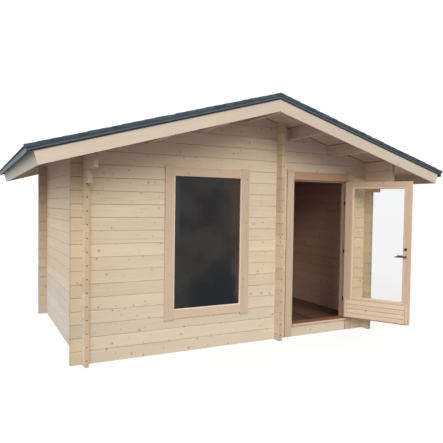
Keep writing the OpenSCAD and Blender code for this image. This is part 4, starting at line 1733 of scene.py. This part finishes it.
@dataclass
class Studio:
    """Camera, floor, backdrop and lights."""

    eye: tuple[float, float, float] = (-2.8725, -6.2521, 1.6343)
    yaw: float = 27.236
    pitch: float = -1.994
    roll: float = 0.812
    lens: float = 39.628
    floor_size: float = 60.0
    floor_tone: float = 0.37
    floor_seen: float = 1.30
    floor_glow: float = 0.80
    sky: float = 0.44
    sky_seen: float = 1.09
    lights: tuple[tuple[str, float, float, float, float], ...] = (
        ("front_light", 12.0, 25.5, 34.0, 1.93), ("left_light", 82.0, 27.0, 44.0, 1.22),
        ("back_light", 225.0, 38.0, 60.0, 1.10))

    def build(self) -> None:
        """Sets the stage."""
        self._camera()
        self._floor()
        self._world()
        self._lights()
        bpy.context.scene.view_settings.view_transform = "Standard"

    def _camera(self) -> None:
        """Stands the camera where the photograph was taken."""
        yaw, pitch, roll = (math.radians(v) for v in (self.yaw, self.pitch, self.roll))
        ahead = Vector((math.sin(yaw) * math.cos(pitch), math.cos(yaw) * math.cos(pitch), math.sin(pitch)))
        level = Vector((math.cos(yaw), -math.sin(yaw), 0))
        above = level.cross(ahead)
        right = level * math.cos(roll) + above * math.sin(roll)
        up = above * math.cos(roll) - level * math.sin(roll)
        data = bpy.data.cameras.new("eye")
        data.lens = self.lens
        data.sensor_width = 36.0
        data.clip_end = 200.0
        made = placed("eye", data)
        made.matrix_world = Matrix.Translation(self.eye) @ Matrix((right, up, -ahead)).transposed().to_4x4()
        bpy.context.scene.camera = made

    @staticmethod
    def _seen(bench: Bench) -> Shade:
        """Tells what the camera sees, straight, mirrored or through glass.

        Args:
            bench: where the nodes go.

        Returns:
            1 for what it sees, otherwise 0.
        """
        path = bench.add("ShaderNodeLightPath")
        kinds = [bench.out(path, f"Is {kind} Ray") for kind in ("Camera", "Glossy", "Transmission")]
        return bench.sum("MINIMUM", kinds[0] + kinds[1] + kinds[2], 1.0)

    def _floor(self) -> None:
        """Lays a floor that looks white with a soft shadow, and throws back as much light as paving."""
        mesh = bmesh.new()
        bmesh.ops.create_grid(mesh, x_segments=1, y_segments=1, size=self.floor_size)
        made = piece(mesh, "studio_floor")
        material = bpy.data.materials.new("studio_white")
        material.use_nodes = True
        bench = Bench(material.node_tree)
        seen = self._seen(bench)
        tone = seen * (self.floor_seen - self.floor_tone) + self.floor_tone
        matt = bench.add("ShaderNodeBsdfDiffuse", None, {"Color": bench.vector(tone, tone, tone)})
        glow = bench.add("ShaderNodeEmission", None, {"Color": (1.0, 1.0, 1.0), "Strength": 1.0})
        sockets = {0: seen * self.floor_glow, 1: bench.out(matt), 2: bench.out(glow)}
        mixed = bench.add("ShaderNodeMixShader", None, sockets)
        bench.add("ShaderNodeOutputMaterial", None, {"Surface": bench.out(mixed)})
        made.data.materials.append(material)

    def _world(self) -> None:
        """Makes the backdrop white and the light that falls from the sky weaker than that."""
        world = bpy.data.worlds.new("studio_sky")
        bpy.context.scene.world = world
        world.use_nodes = True
        bench = Bench(world.node_tree)
        strength = self._seen(bench) * (self.sky_seen - self.sky) + self.sky
        back = bench.add("ShaderNodeBackground", None, {"Color": (1.0, 1.0, 1.0), "Strength": strength})
        bench.add("ShaderNodeOutputWorld", None, {"Surface": bench.out(back)})

    def _lights(self) -> None:
        """Adds broad, soft lights, each with its turn to the left, height, width and strength."""
        for name, turn, height, width, energy in self.lights:
            data = bpy.data.lights.new(name, "SUN")
            data.energy = energy
            data.angle = math.radians(width)
            data.color = (1.0, 0.99, 0.97)
            made = placed(name, data)
            made.rotation_euler = Euler((math.radians(90 - height), 0, math.radians(-turn)))


def main() -> None:
    """Builds the stage and dresses the cabin piece by piece."""
    logging.basicConfig(level=logging.INFO, format="%(message)s")
    Studio().build()
    layer = LaidPieces()
    LogWalls().build()
    Floor().build()
    Roof().build(layer)
    Openings().build()
    DoorLeaf().build()
    Heads().build(layer)


if __name__ == "__main__":
    main()
